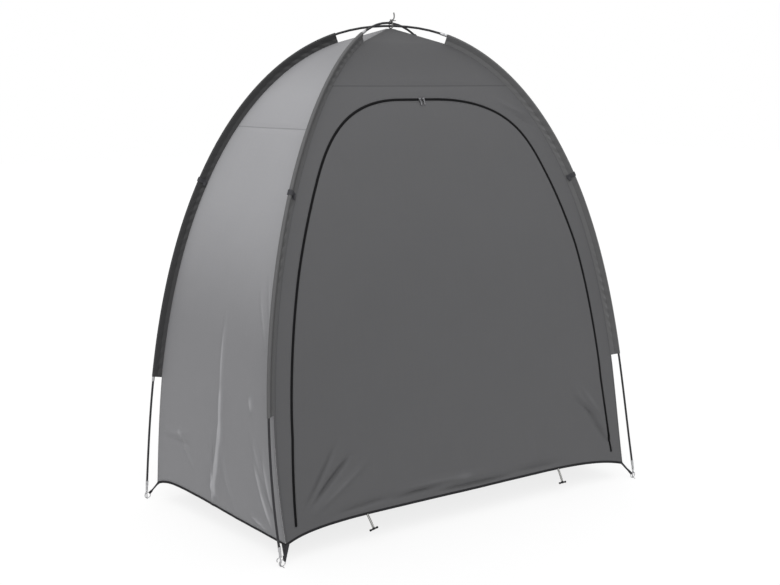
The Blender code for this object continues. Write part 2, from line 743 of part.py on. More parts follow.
def apex_tie():
    """A cord round the crossing with a knot and two loose ends on top, and a tape down to the walls' peak."""
    slope = PLAN_WIDTH / PLAN_LENGTH
    apart = (TIE_ASIDE + TIE_RADIUS) * slope
    half_width = POLE_RADIUS * math.hypot(1, slope) + apart + TIE_RADIUS + TIE_ROOM
    half_height = 2 * POLE_RADIUS + CLEARANCE / 2 + TIE_RADIUS + TIE_ROOM
    points = []
    for k in range(TIE_LOOP_STEPS):
        angle = 2 * math.pi * k / TIE_LOOP_STEPS
        y, z = math.sin(angle), math.cos(angle)
        full = max(abs(y), abs(z)) ** TIE_SQUARENESS
        points.append(CROSSING + Vector((TIE_ASIDE, half_width * y / full, half_height * z / full)))
    loop = tube("apex_tie", points, TIE_RADIUS, GREY_CORD)
    loop.data.splines[0].use_cyclic_u = True
    tie = curve_to_mesh(loop)
    knot = bmesh.new()
    knot_place = Matrix.Translation(CROSSING + Vector(TIE_KNOT))
    bmesh.ops.create_uvsphere(knot, u_segments=10, v_segments=6, radius=TIE_KNOT_RADIUS, matrix=knot_place)
    tape_width = 2 * (APEX_OPENING * outward("back_right").y - WALL_THICKNESS / 2)
    tape_middle = CROSSING + Vector((TIE_ASIDE, 0, -half_height - TIE_TAPE_DROP / 2))
    tape_size = (TIE_TAPE_THICKNESS, tape_width, TIE_TAPE_DROP)
    for addition in (
        add_mesh("tie_knot", knot, GREY_CORD),
        tie_end("tie_long_end", TIE_LONG_END),
        tie_end("tie_short_end", TIE_SHORT_END),
        box("tie_tape", tape_size, Matrix.Translation(tape_middle), GREY_CORD),
    ):
        boolean(tie, "UNION", make_cutter(addition))


def centre_over_origin():
    """Moves everything so that the origin is under the middle of the tent's outline."""
    bpy.context.view_layer.update()
    graph = bpy.context.evaluated_depsgraph_get()
    points = []
    for obj in PARTS.objects:
        evaluated = obj.evaluated_get(graph)
        points += [evaluated.matrix_world @ vert.co for vert in evaluated.to_mesh().vertices]
        evaluated.to_mesh_clear()
    low = Vector(min(point[axis] for point in points) for axis in range(3))
    high = Vector(max(point[axis] for point in points) for axis in range(3))
    shift = Matrix.Translation((-(low.x + high.x) / 2, -(low.y + high.y) / 2, -low.z))
    for obj in bpy.data.objects:
        obj.matrix_world = shift @ obj.matrix_world


clear_scene()
PARTS = new_collection("bike_storage_tent")
CUTTERS = new_collection("cutters")

pole("pole_front_left_to_back_right", *UPPER_POLE)
pole("pole_back_left_to_front_right", *LOWER_POLE)
for corner_name in LEGS:
    sleeve(corner_name)
    guy_loop(corner_name)
    foot(corner_name)
for corner_name, sleeve_end in (
    ("front_left", "top"), ("front_right", "top"), ("back_left", "bottom"), ("back_right", "bottom"),
):
    ferrule(corner_name, sleeve_end)

front_pieces()
wall("left_wall", "back_left", "front_left", (-1, 0, 0), LEFT_HEM, LIGHT_GREY)
wall("right_wall", "front_right", "back_right", (1, 0, 0), RIGHT_HEM, LIGHT_GREY)
wall("back_wall", "back_right", "back_left", (0, 1, 0), BACK_HEM, CHARCOAL)
hem("hem_front", "front_left", "front_right", (0, -1, 0), FRONT_HEM)
hem("hem_left", "back_left", "front_left", (-1, 0, 0), LEFT_HEM)
hem("hem_right", "front_right", "back_right", (1, 0, 0), RIGHT_HEM)
hem("hem_back", "back_right", "back_left", (0, 1, 0), BACK_HEM)
sliders()
for toggle_name in TOGGLES:
    toggle(toggle_name)
apex_tie()
centre_over_origin()
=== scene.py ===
"""Bike storage tent: cloth walls, sleeves, poles, zip and fittings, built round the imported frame.

Metres, +Z up. The front wall faces -Y. Each corner leg lies in the upright plane from the crossing to its
foot, so a leg is drawn as reach and height. Shares run from a wall's first corner to its second.
"""

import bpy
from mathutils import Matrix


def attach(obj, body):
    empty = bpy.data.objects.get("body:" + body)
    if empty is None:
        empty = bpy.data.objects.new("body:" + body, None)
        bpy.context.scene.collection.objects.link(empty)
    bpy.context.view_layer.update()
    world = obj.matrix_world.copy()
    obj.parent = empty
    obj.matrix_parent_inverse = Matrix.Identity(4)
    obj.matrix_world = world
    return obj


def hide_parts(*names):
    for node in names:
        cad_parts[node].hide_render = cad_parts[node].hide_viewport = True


bl_info = {
    "name": "Bike storage tent",
    "version": (1, 0, 0),
    "blender": (4, 5, 0),
    "location": "View3D > Sidebar > Tent",
    "description": "Builds the cloth, poles, zip and fittings of a bike storage tent round its packed frame",
    "category": "Object",
}

import math
from typing import NamedTuple

import bmesh
import bpy
import numpy as np
from bpy.props import FloatProperty, FloatVectorProperty, IntProperty, PointerProperty
from mathutils import Matrix, Vector, geometry
from mathutils.bvhtree import BVHTree

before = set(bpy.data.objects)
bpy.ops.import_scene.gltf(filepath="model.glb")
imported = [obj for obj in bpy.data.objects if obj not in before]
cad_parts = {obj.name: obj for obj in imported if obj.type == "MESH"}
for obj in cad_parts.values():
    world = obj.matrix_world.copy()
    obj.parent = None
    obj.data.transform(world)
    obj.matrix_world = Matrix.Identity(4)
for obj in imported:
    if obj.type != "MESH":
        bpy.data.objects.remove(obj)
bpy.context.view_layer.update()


class Leg(NamedTuple):
    """One corner leg: its side along X and Y, the shape of its arc, and where its sleeve starts and stops."""

    side_x: int
    side_y: int
    fullness: float
    spread: float
    flare: float
    flare_power: float
    sleeve_top_reach: float
    sleeve_bottom: float


PLAN_LENGTH = 1.51
PLAN_WIDTH = 0.82
POLE_RISE = 1.62
POLE_RADIUS = 0.00475
CLEARANCE = 0.0003
LEGS = {
    "front_left": Leg(-1, -1, 1.918, 1.10, -0.193, 1.887, 0.200, 0.485),
    "front_right": Leg(1, -1, 2.151, 0.994, 0.064, 5, 0.199, 0.480),
    "back_left": Leg(-1, 1, 2.153, 0.997, 0.030, 5, 0.184, 0.450),
    "back_right": Leg(1, 1, 2.153, 0.997, 0.030, 5, 0.200, 0.475),
}
UPPER_POLE = ("front_left", "back_right")
LOWER_POLE = ("back_left", "front_right")
UP = np.array((0.0, 0.0, 1.0))
PEAK_PLAN = np.array((-0.01149, 0.00624, 0.0))
HALF_DIAGONAL = math.hypot(PLAN_LENGTH, PLAN_WIDTH) / 2
CROSSING_LIFT = POLE_RADIUS + CLEARANCE / 2

TIP_BOTTOM = 0.034
TIP_LENGTH = 0.034
POLE_IN_TIP = 0.018
TIP_RIM = 0.0062
FIN_WIDTH = 0.0277
FIN_WIDTH_AT_HEM = 0.0362
FIN_WIDENS_BELOW = 0.46
APEX_HEIGHT = 1.6435
APEX_OPENING = 0.014
HEM_CORNER = 0.053
HEM_BINDING = 0.008
HEM_ROOM = 0.060
BINDING_GIRTH = 0.018
BINDING_SECTION = (
    (-0.0012, 0.0002), (-0.0010, 0.0007), (-0.0004, 0.0009), (0.003, 0.0010), (0.0066, 0.0009),
    (0.0076, 0.0005), (0.0080, -0.0004), (0.0076, -0.0013), (0.0066, -0.0017), (0.003, -0.0018),
    (-0.0004, -0.0017), (-0.0010, -0.0014), (-0.0012, -0.0010), (-0.0008, -0.0004),
)
FRONT_HEM = (0.0415, 16, 11)
LEFT_HEM = (0.030, 13, 1.8)
RIGHT_HEM = (0.030, 12, 12)
BACK_HEM = (0.0415, 12, 12)


class ZipSide(NamedTuple):
    """One side of the door: its inset from the seam, what the shoulder adds, and the shoulder's curve."""

    inset: float
    shoulder_inset: float
    shoulder_pull: float
    flat_half: float
    top_pull: float


ZIP_SIDES = {
    "front_left": ZipSide(0.061, 0.0045, 0.153, 0.111, 0.2035),
    "front_right": ZipSide(0.067, 0.018, 0.122, 0.028, 0.308),
}
ZIP_TOP = APEX_HEIGHT - 0.240
ZIP_SHOULDER = APEX_HEIGHT - 0.4835
ZIP_DRIFT_FROM = APEX_HEIGHT - 0.7435
ZIP_BOTTOM = 0.112
ZIP_STRAIGHT_FROM = 0.400
ZIP_LOW_INSET = -0.017
ZIP_STITCHES = 0.009
ZIP_CLEAR = 0.0035
ZIP_ACROSS = (-0.0044, -0.0042, -0.0026, -0.0022, -0.0010, 0.0, 0.0010, 0.0022, 0.0026, 0.0042, 0.0044)
ZIP_HALF_TOOTH = 0.0011
ZIP_GIRTH = 0.022
FRONT_BREADTH = 1.45
SLEEVE_INNER = 0.00515
SLEEVE_LAYER = 0.0002
SLEEVE_TAPER_END = 0.0135
SLEEVE_RIPPLE = 0.0013
PIN_RADIUS = 0.002
PIN_TAIL = ((0, 0, 0.0046), (-0.002, 0.0045, 0.0034), (-0.0035, 0.0100, 0.0014), (-0.0042, 0.0165, 0.0012))
PIN_CLAW = (
    (0, 0, 0.0285), (0.0040, -0.0026, 0.0280), (0.0078, -0.0050, 0.0245), (0.0092, -0.0060, 0.0190),
    (0.0078, -0.0050, 0.0150),
)
TIP_PROFILE = (
    (0.0020, 0.0004), (0.0031, 0.0), (0.0040, 0.0006), (0.0041, 0.0020), (0.0041, 0.0085), (0.0037, 0.0093),
    (0.0037, 0.0101), (0.0041, 0.0109), (0.0042, 0.0150), (0.0048, 0.0164), (0.0048, 0.0240),
    (0.0044, 0.0248), (0.0044, 0.0256), (0.0048, 0.0264), (0.0048, TIP_LENGTH - 0.0012),
    (0.0046, TIP_LENGTH - 0.0003), (0.0043, TIP_LENGTH), (0.0041, TIP_LENGTH - 0.0004), (0.0041, 0.0172),
    (0.0020, 0.0160), (0.0020, 0.0004),
)
RING_RADIUS = 0.0105
RING_WIRE = 0.0015
RING_SHIFT = 0.004
HOOK_RADIUS = 0.0012
STRAP_ANGLE = math.radians(50)
STRAP_CLOTH = 0.0013
STRAP_LIFT = 0.0022
STRAP_EASE = 0.016
STRAP_RETURN = 0.012
STRAP_HALF_AT_RING = 0.0040
STRAP_REACH = {"front": 0.011, "back": 0.011, "left": 0.024, "right": 0.024}
STRAP_WALLS = {
    "front_left": (("left", 1), ("front", 0)), "front_right": (("front", 1), ("right", 0)),
    "back_left": (("left", 0), ("back", 1)), "back_right": (("back", 0), ("right", 1)),
}
FERRULE_ENDS = {"front_left": "top", "front_right": "top", "back_left": "bottom", "back_right": "bottom"}
FERRULE_LENGTHS = {"top": 0.026, "bottom": 0.016}
FERRULE_BORE = 0.0041
FERRULE_RADIUS = 0.0049
GUY_LOOP_HEIGHT = 1.137
GUY_LOOP_SIDE = ((-0.0270, 0.0017), (-0.0180, 0.0021), (-0.0110, 0.0042), (-0.0060, 0.0068), (-0.0020, 0.0078))
GUY_LOOP_STUB = (
    (0.001, 0.0046), (0.0050, 0.0054), (0.0095, 0.0062), (0.0125, 0.0060), (0.0140, 0.0050), (0.0125, 0.0042),
    (0.0095, 0.0040), (0.0050, 0.0044), (0.001, 0.0038),
)
SLIDER_SPACING = 0.0135
SLIDERS_MIDDLE = -0.024
TIE_RADIUS = 0.0018
TIE_PITCH = 0.0036
TIE_ASIDE = 0.0060
TIE_KNOT = (0.0055, -0.0045, 0.0130)
TIE_SHORT_END = ((0.0145, -0.0070, 0.0128), (0.0228, -0.0055, 0.0133))
TIE_END_RADIUS = 0.00225
TIE_END_PITCH = 0.0048
TIE_LONG_END = (
    (0.0122, -0.0040, 0.0152), (0.0168, -0.0040, 0.0232), (0.0172, -0.0040, 0.0315),
    (0.0152, -0.0040, 0.0402),
)
TOGGLES = {"left": (0.211, math.radians(10)), "right": (0.779, math.radians(-1))}
TOGGLE_TWIST = 0.0066
TOGGLE_BAR_STEP = 0.0026
TOGGLE_COLLAR_STEP = 0.0018
TOGGLE_ROUTE = (
    (0.0, 0.0), (0.0052, 0.0066), (0.0100, 0.0136), (0.0144, 0.0208), (0.0184, 0.0282), (0.0219, 0.0352),
    (0.0250, 0.0418),
)
TOGGLE_COLLAR = (
    (0.0030, 0.0), (0.0040, 0.0), (0.0044, 0.0005), (0.0044, 0.0022), (0.0042, 0.0026), (0.0037, 0.0026),
    (0.0037, 0.0008), (0.0030, 0.0006), (0.0030, 0.0),
)
CAMERA_PLACE = (-2.22647, -3.17895, 1.43109)
CAMERA_HEADING, CAMERA_TILT, CAMERA_ROLL = np.radians((-34.7658, 10.2731, -0.3378)).tolist()
CAMERA_SENSOR = 36.0
KEY_DIRECTION = (0.42, 0.64, -0.64)
KEY_SPREAD = math.radians(60)
FLOOR_SIDE = 40
FLOOR_DROP = 0.0004


# The legs, the seams and the walls between them.


def outward(corner):
    run = np.array((LEGS[corner].side_x * PLAN_LENGTH, LEGS[corner].side_y * PLAN_WIDTH, 0.0))
    return run / np.linalg.norm(run)


def in_plan(corner, reach, height):
    reach, height = np.asarray(reach, float), np.asarray(height, float)
    return PEAK_PLAN + reach[..., None] * outward(corner) + height[..., None] * UP


def pole_line(corner, angle):
    """Reach and height of the pole's middle line, at angles from 0 at the crossing to a quarter turn."""
    shape = LEGS[corner]
    lift = CROSSING_LIFT if corner in UPPER_POLE else -CROSSING_LIFT
    out = np.clip(np.sin(angle), 0, 1) ** (2 / shape.fullness)
    up = np.clip(np.cos(angle), 0, 1) ** (2 / shape.fullness)
    reach = HALF_DIAGONAL * shape.spread * out * (1 + shape.flare * (1 - up) ** shape.flare_power)
    return reach, TIP_BOTTOM + (POLE_RISE + lift) * up


def pole_run(corner, angle):
    """Unit step down the leg, as reach and height."""
    step = 0.001
    reach_1, height_1 = pole_line(corner, np.asarray(angle) - step)
    reach_2, height_2 = pole_line(corner, np.asarray(angle) + step)
    length = np.hypot(reach_2 - reach_1, height_2 - height_1)
    return (reach_2 - reach_1) / length, (height_2 - height_1) / length


def angle_at_height(corner, height):
    angles = np.linspace(0, math.pi / 2, 8000)
    return np.interp(-np.asarray(height, float), -pole_line(corner, angles)[1], angles)


def angle_at_reach(corner, reach):
    angles = np.linspace(0, math.radians(60), 6000)
    return np.interp(reach, pole_line(corner, angles)[0], angles)


def fin_width(height):
    low_part = np.maximum(0.0, (FIN_WIDENS_BELOW - height) / (FIN_WIDENS_BELOW - HEM_CORNER))
    return FIN_WIDTH + (FIN_WIDTH_AT_HEM - FIN_WIDTH) * low_part


def below_pole(corner, angle, width):
    """Reach and height of points that lie width inside the pole's middle line."""
    reach, height = pole_line(corner, angle)
    along, fall = pole_run(corner, angle)
    return np.stack((reach + fall * width, height - along * width), -1)


def sleeve_angles(corner, count):
    top = angle_at_reach(corner, LEGS[corner].sleeve_top_reach)
    bottom = angle_at_height(corner, LEGS[corner].sleeve_bottom)
    return np.linspace(top, bottom, count)


# A seam is told by stages: 0 at the peak, 1 and 2 at the sleeve's ends, 3 above the hem and 4 at its corner.
HIGH_STEPS, SLEEVE_STEPS, LOW_STEPS = 12, 120, 30
SEAM_STAGES = np.concatenate((
    np.linspace(0, 1, HIGH_STEPS)[:-1], np.linspace(1, 2, SLEEVE_STEPS), np.linspace(2, 3, LOW_STEPS)[1:],
    [4, 5],
))


def seam(corner):
    """The corner seam at SEAM_STAGES: straight to the sleeve, inside the pole, and straight at the foot."""
    heights = np.linspace(LEGS[corner].sleeve_bottom, HEM_CORNER + HEM_BINDING + HEM_ROOM, LOW_STEPS)[1:]
    angles = np.concatenate((sleeve_angles(corner, SLEEVE_STEPS), angle_at_height(corner, heights)))
    low = below_pole(corner, angles, fin_width(pole_line(corner, angles)[1]))
    slope = (low[0, 1] - APEX_HEIGHT) / low[0, 0]
    reaches = np.linspace(APEX_OPENING, low[0, 0], HIGH_STEPS)[:-1]
    high = np.stack((reaches, APEX_HEIGHT + slope * reaches), -1)
    foot = below_pole(corner, angle_at_height(corner, HEM_CORNER), fin_width(HEM_CORNER))
    share = (low[-1, 1] - HEM_CORNER - HEM_BINDING) / (low[-1, 1] - foot[1])
    corner_step = (foot - low[-1]) * share
    line = np.concatenate((high, low, [low[-1] + corner_step, low[-1] + 2 * corner_step]))
    return in_plan(corner, line[:, 0], line[:, 1])


def seam_place(corner, height):
    line = seam(corner)
    return np.array([np.interp(-height, -line[:, 2], line[:, axis]) for axis in range(3)])


def arch(share, hem_shape):
    """How far a hem has climbed above its corners, at shares of the way from its first to its second."""
    rise, first_power, second_power = hem_shape
    return rise * (1 - (1 - share) ** first_power) * (1 - share**second_power)


def unit(vectors):
    return vectors / np.maximum(np.linalg.norm(vectors, axis=-1, keepdims=True), 1e-12)


def gone_along(line):
    """The way gone along a line at each of its points."""
    return np.concatenate(([0], np.cumsum(np.linalg.norm(np.diff(line, axis=0), axis=1))))


def from_segment(points, start, line):
    """What share of a straight line from start each point lies beside, and how far off it is."""
    part = np.clip((points - start) @ line / (line @ line), 0, 1)
    return part, np.linalg.norm(points - start - part[..., None] * line, axis=-1)


CREASE_DEPTH = 1.7
FULL_FOLD = 0.0065
PUCKER_LENGTH = 0.034
RIPPLE_LENGTH = 0.085


class Crease(NamedTuple):
    """A fold pressed in the cloth: from and to as share and height, how wide, and how far it stands out."""

    first: tuple
    second: tuple
    width: float
    lift: float


class Wall:
    """One cloth wall between two corner seams, as a surface over shares and stages, with its creases."""

    def __init__(self, first, second, outside, hem_shape, creases=(), phase=0.0):
        self.outside, self.hem_shape, self.phase = np.array(outside, float), hem_shape, phase
        self.axis = np.abs(np.cross(UP, self.outside))
        lines = [seam(first), seam(second)]
        across = unit(lines[1] - lines[0])
        inset = np.interp(SEAM_STAGES, (0, 0.95, 1.02), (0.00015, 0.00015, 0.0008))
        self.sides = []
        for line, sign in zip(lines, (1, -1)):
            run = unit(np.gradient(line, axis=0))
            tilt = np.sqrt(1 - np.sum(run * across, axis=1) ** 2)
            self.sides.append(line + sign * across * (inset / tilt)[:, None])
        self.creases = [
            (self.place(*crease.first), self.place(*crease.second), crease.width, crease.lift * CREASE_DEPTH)
            for crease in creases
        ]

    def side(self, index, stage):
        line = self.sides[index]
        return np.stack([np.interp(stage, SEAM_STAGES, line[:, axis]) for axis in range(3)], -1)

    def width(self, stage):
        return np.linalg.norm(self.side(1, stage) - self.side(0, stage), axis=-1)

    def from_seam(self, share, stage):
        return np.minimum(share, 1 - share) * self.width(stage)

    def flat(self, share, stage):
        """The wall without its creases."""
        share, stage = np.broadcast_arrays(np.asarray(share, float), np.asarray(stage, float))
        first, second = self.side(0, stage), self.side(1, stage)
        return first + (second - first) * share[..., None]

    def hem_stage(self, share, drop=0.0):
        """The stage of the arched edge, or of a line some way below it."""
        high, low = self.flat(share, 3)[..., 2], self.flat(share, 4)[..., 2]
        return 4 - (arch(share, self.hem_shape) - drop) / (high - low)

    def stage_at(self, share, height):
        low, high = np.zeros_like(share, dtype=float), np.full_like(share, 4.9, dtype=float)
        for _ in range(40):
            middle = (low + high) / 2
            above = self.flat(share, middle)[..., 2] > height
            low, high = np.where(above, middle, low), np.where(above, high, middle)
        return low

    def share_and_stage(self, x, height):
        """Where the line through x and height along Y meets the wall."""
        share = np.full_like(x, 0.5, dtype=float)
        for _ in range(30):
            stage = self.stage_at(share, height)
            first, second = self.side(0, stage), self.side(1, stage)
            share = (x - first[..., 0]) / (second[..., 0] - first[..., 0])
        return share, stage

    def place(self, share, height):
        """A point of the flat wall as distance across and height."""
        share = np.array(float(share))
        point = self.flat(share, self.stage_at(share, height))
        return np.array((point @ self.axis, point[2]))

    def normal(self, share, stage):
        step = 0.004
        run = self.flat(share + step, stage) - self.flat(share - step, stage)
        fall = self.flat(share, stage + step) - self.flat(share, np.maximum(stage - step, 0))
        found = unit(np.cross(run, fall))
        return found * np.sign(found @ self.outside)[..., None]

    def folds(self, share, stage):
        """How far the pressed folds stand out from the flat wall."""
        points = self.flat(share, stage)
        flat_point = np.stack((points @ self.axis, points[..., 2]), -1)
        total = np.zeros(flat_point.shape[:-1])
        for first, second, width, lift in self.creases:
            part, away = from_segment(flat_point, first, second - first)
            rise = lift * np.sin(np.pi * np.clip(part, 0.02, 0.98)) ** 0.7
            total = total + rise * np.exp(-((away / width) ** 2))
        return total * (1 - np.exp(-((self.from_seam(share, stage) / 0.01) ** 2)))

    def relief(self, share, stage, points):
        """How far the cloth stands out from the flat wall."""
        across, height, phase = points @ self.axis, points[..., 2], self.phase
        from_seam = self.from_seam(share, stage)
        from_hem = np.maximum(height - HEM_CORNER - arch(np.clip(share, 0, 1), self.hem_shape), 0)
        held = 1 - np.exp(-((from_seam / 0.07) ** 2))
        slow = np.sin(7.1 * across + 3.3 * height + phase) + 0.7 * np.sin(5.2 * height - 4.1 * across + 1.3)
        quick = np.sin(17 * across - 6 * height + 2 * phase) * np.sin(11 * height + 5 * across + 0.6)
        total = held * (0.0016 * slow + 0.0008 * quick)
        run = height * (1 + 0.05 * np.sin(9 * height + phase))
        pucker = np.sin(run * 2 * math.pi / PUCKER_LENGTH + 1.5 * np.sin(21 * height))
        swell = 0.5 + 0.5 * np.sin(8.3 * height + phase)
        total = total + 0.0007 * pucker * swell * np.exp(-from_seam / 0.03) * (1 - np.exp(-from_seam / 0.004))
        ripple = np.sin(across * 2 * math.pi / RIPPLE_LENGTH + 2.2 * np.sin(3.7 * across + phase))
        total = total + held * 0.0006 * ripple * np.exp(-from_hem / 0.07) * (1 - np.exp(-from_hem / 0.02))
        return total + self.folds(share, stage)

    def cloth(self, share, stage):
        """The outer side of the cloth, creases and all."""
        points = self.flat(share, stage)
        return points + self.normal(share, stage) * self.relief(share, stage, points)[..., None]

    def rows(self, count):
        """Stages an equal way apart down the middle of the wall, the last being the corners' own."""
        fine = np.linspace(0, 4, 2000)
        gone = gone_along(self.flat(0.5, fine))
        fall = np.linspace(0, gone[-1], count)
        return np.interp(fall, gone, fine), fall

    def down_to_hem(self, share, stage):
        """Stages beyond 3 squeezed so that stage 4 falls on the arched edge."""
        return np.where(stage > 3, 3 + (stage - 3) * (self.hem_stage(share) - 3), stage)


def column_shares(count):
    """Shares that crowd a little towards the corners, where the cloth puckers."""
    even = np.linspace(0, 1, count)
    return 0.75 * even + 0.25 * (1 - np.cos(math.pi * even)) / 2


FRONT_CREASES = (
    Crease((0.02, 1.448), (0.98, 1.446), 0.006, -0.0012), Crease((0.86, 1.40), (0.99, 1.34), 0.008, 0.0026),
    Crease((0.90, 1.36), (0.99, 1.30), 0.008, -0.0024), Crease((0.066, 0.15), (0.19, 0.31), 0.009, -0.0040),
    Crease((0.092, 0.19), (0.18, 0.305), 0.008, -0.0036),
    Crease((0.055, 0.15), (0.155, 0.365), 0.009, -0.0036),
    Crease((0.075, 0.135), (0.235, 0.285), 0.012, 0.0030),
    Crease((0.27, 0.126), (0.46, 0.143), 0.009, -0.0046),
    Crease((0.13, 0.121), (0.30, 0.140), 0.009, -0.0038),
    Crease((0.40, 0.117), (0.64, 0.114), 0.009, -0.0046),
    Crease((0.30, 0.156), (0.56, 0.150), 0.012, 0.0032),
    Crease((0.62, 0.125), (0.80, 0.118), 0.012, -0.0034),
    Crease((0.85, 0.35), (0.94, 0.24), 0.008, -0.0040),
    Crease((0.885, 0.31), (0.957, 0.185), 0.008, -0.0040),
    Crease((0.90, 0.27), (0.97, 0.135), 0.009, -0.0044), Crease((0.875, 0.40), (0.95, 0.25), 0.010, 0.0030),
    Crease((0.84, 0.44), (0.945, 0.17), 0.014, 0.0024), Crease((0.50, 0.12), (0.46, 0.30), 0.022, 0.0016),
    Crease((0.72, 0.13), (0.70, 0.26), 0.018, 0.0016),
)
LEFT_CREASES = (
    Crease((0.02, 1.318), (0.98, 1.314), 0.006, -0.0012),
    Crease((0.55, 0.74), (0.572, 0.42), 0.009, 0.0036), Crease((0.569, 0.50), (0.562, 0.30), 0.009, 0.0048),
    Crease((0.567, 0.38), (0.517, 0.19), 0.010, 0.0056),
    Crease((0.540, 0.26), (0.470, 0.08), 0.010, 0.0056),
    Crease((0.462, 0.245), (0.515, 0.10), 0.009, 0.0042),
    Crease((0.50, 0.34), (0.455, 0.12), 0.010, -0.0026), Crease((0.56, 0.28), (0.66, 0.09), 0.013, 0.0020),
    Crease((0.815, 0.52), (0.832, 0.455), 0.012, 0.0034), Crease((0.84, 0.86), (0.95, 0.66), 0.010, 0.0026),
    Crease((0.90, 0.90), (0.985, 0.70), 0.009, 0.0024), Crease((0.82, 0.40), (0.90, 0.24), 0.013, 0.0024),
    Crease((0.832, 0.31), (0.930, 0.08), 0.010, 0.0050), Crease((0.86, 0.24), (0.98, 0.10), 0.010, -0.0034),
    Crease((0.76, 0.115), (0.90, 0.078), 0.009, 0.0036), Crease((0.90, 0.36), (0.955, 0.12), 0.010, 0.0034),
    Crease((0.02, 0.24), (0.32, 0.257), 0.006, -0.0030), Crease((0.06, 0.26), (0.30, 0.30), 0.012, 0.0020),
    Crease((0.18, 0.30), (0.33, 0.17), 0.009, 0.0022),
)
PLAIN_CREASES = (
    Crease((0.02, 1.44), (0.98, 1.442), 0.006, 0.0014), Crease((0.48, 0.62), (0.52, 0.12), 0.014, 0.0034),
    Crease((0.52, 0.30), (0.58, 0.10), 0.013, -0.0028), Crease((0.06, 0.14), (0.20, 0.36), 0.014, 0.0034),
    Crease((0.10, 0.12), (0.27, 0.28), 0.014, -0.0028), Crease((0.86, 0.42), (0.95, 0.15), 0.013, 0.0034),
    Crease((0.79, 0.34), (0.92, 0.13), 0.014, -0.0028), Crease((0.86, 0.90), (0.95, 0.72), 0.010, 0.0022),
    Crease((0.05, 0.86), (0.13, 0.70), 0.010, 0.0022),
)
WALLS = {
    "front": Wall("front_left", "front_right", (0, -1, 0), FRONT_HEM, FRONT_CREASES, 0.4),
    "left": Wall("back_left", "front_left", (-1, 0, 0), LEFT_HEM, LEFT_CREASES, 1.9),
    "right": Wall("front_right", "back_right", (1, 0, 0), RIGHT_HEM, PLAIN_CREASES, 3.1),
    "back": Wall("back_right", "back_left", (0, 1, 0), BACK_HEM, PLAIN_CREASES, 4.6),
}


def door_side(corner, height):
    """The middle of the zip at a height, as X and Z."""
    zip_side = ZIP_SIDES[corner]
    low_part = max(0.0, (ZIP_STRAIGHT_FROM - height) / (ZIP_STRAIGHT_FROM - ZIP_BOTTOM))
    high_part = max(0.0, (height - ZIP_DRIFT_FROM) / (ZIP_SHOULDER - ZIP_DRIFT_FROM))
    inset = zip_side.inset + ZIP_LOW_INSET * low_part + zip_side.shoulder_inset * high_part
    return Vector((seam_place(corner, height)[0] - LEGS[corner].side_x * inset, 0, height))


def door_outline():
    """The zip's middle line as X and Z, up the left side, over the top and down the right."""
    outline = []
    for corner in ("front_left", "front_right"):
        side_x, zip_side = LEGS[corner].side_x, ZIP_SIDES[corner]
        side = [door_side(corner, height) for height in np.linspace(ZIP_BOTTOM, ZIP_SHOULDER, 60)]
        lean = (side[-1] - side[-2]).normalized()
        top = Vector((side_x * zip_side.flat_half + PEAK_PLAN[0], 0, ZIP_TOP))
        shoulder = geometry.interpolate_bezier(
            side[-1], side[-1] + lean * zip_side.shoulder_pull,
            top + Vector((side_x * zip_side.top_pull, 0, 0)), top, 40,
        )
        half = side + list(shoulder[1:])
        outline += half if side_x < 0 else half[::-1]
    return np.array([(point.x, point.z) for point in outline])


def spaced(line, step):
    """Points an equal way apart along a line."""
    line = np.asarray(line, float)
    gone = gone_along(line)
    places = np.linspace(0, gone[-1], max(2, round(gone[-1] / step) + 1))
    return np.stack([np.interp(places, gone, line[:, k]) for k in range(line.shape[1])], 1)


# Finishes. Shader maths is written as plain expressions on Value.


class Value:
    """A socket of a finish, which can be added, multiplied and so on."""

    def __init__(self, finish, socket):
        self.finish, self.socket = finish, socket

    def math(self, operation, *others):
        return self.finish.node("Math", {"operation": operation}, dict(enumerate((self, *others))))

    def __add__(self, other):
        return self.math("ADD", other)

    def __sub__(self, other):
        return self.math("SUBTRACT", other)

    def __rsub__(self, other):
        return self.finish.node("Math", {"operation": "SUBTRACT"}, {0: other, 1: self})

    def __mul__(self, other):
        return self.math("MULTIPLY", other)

    def __pow__(self, other):
        return self.math("POWER", other)

    def __mod__(self, other):
        return self.math("FLOORED_MODULO", other)

    __radd__, __rmul__ = __add__, __mul__

    def wave(self, pitch):
        """A sine that comes round once in each pitch."""
        return (self * (2 * math.pi / pitch)).math("SINE")

    def size(self):
        return self.math("ABSOLUTE")

    def most(self, other):
        return self.math("MAXIMUM", other)

    def between(self, low, high, first=0.0, second=1.0):
        """A smooth step from first to second as this goes from low to high."""
        inputs = {"Value": self, "From Min": low, "From Max": high, "To Min": first, "To Max": second}
        return self.finish.node("MapRange", {"interpolation_type": "SMOOTHSTEP"}, inputs)

    def fading(self, low, high):
        """1 up to low, and 0 from high."""
        return self.between(low, high, 1.0, 0.0)


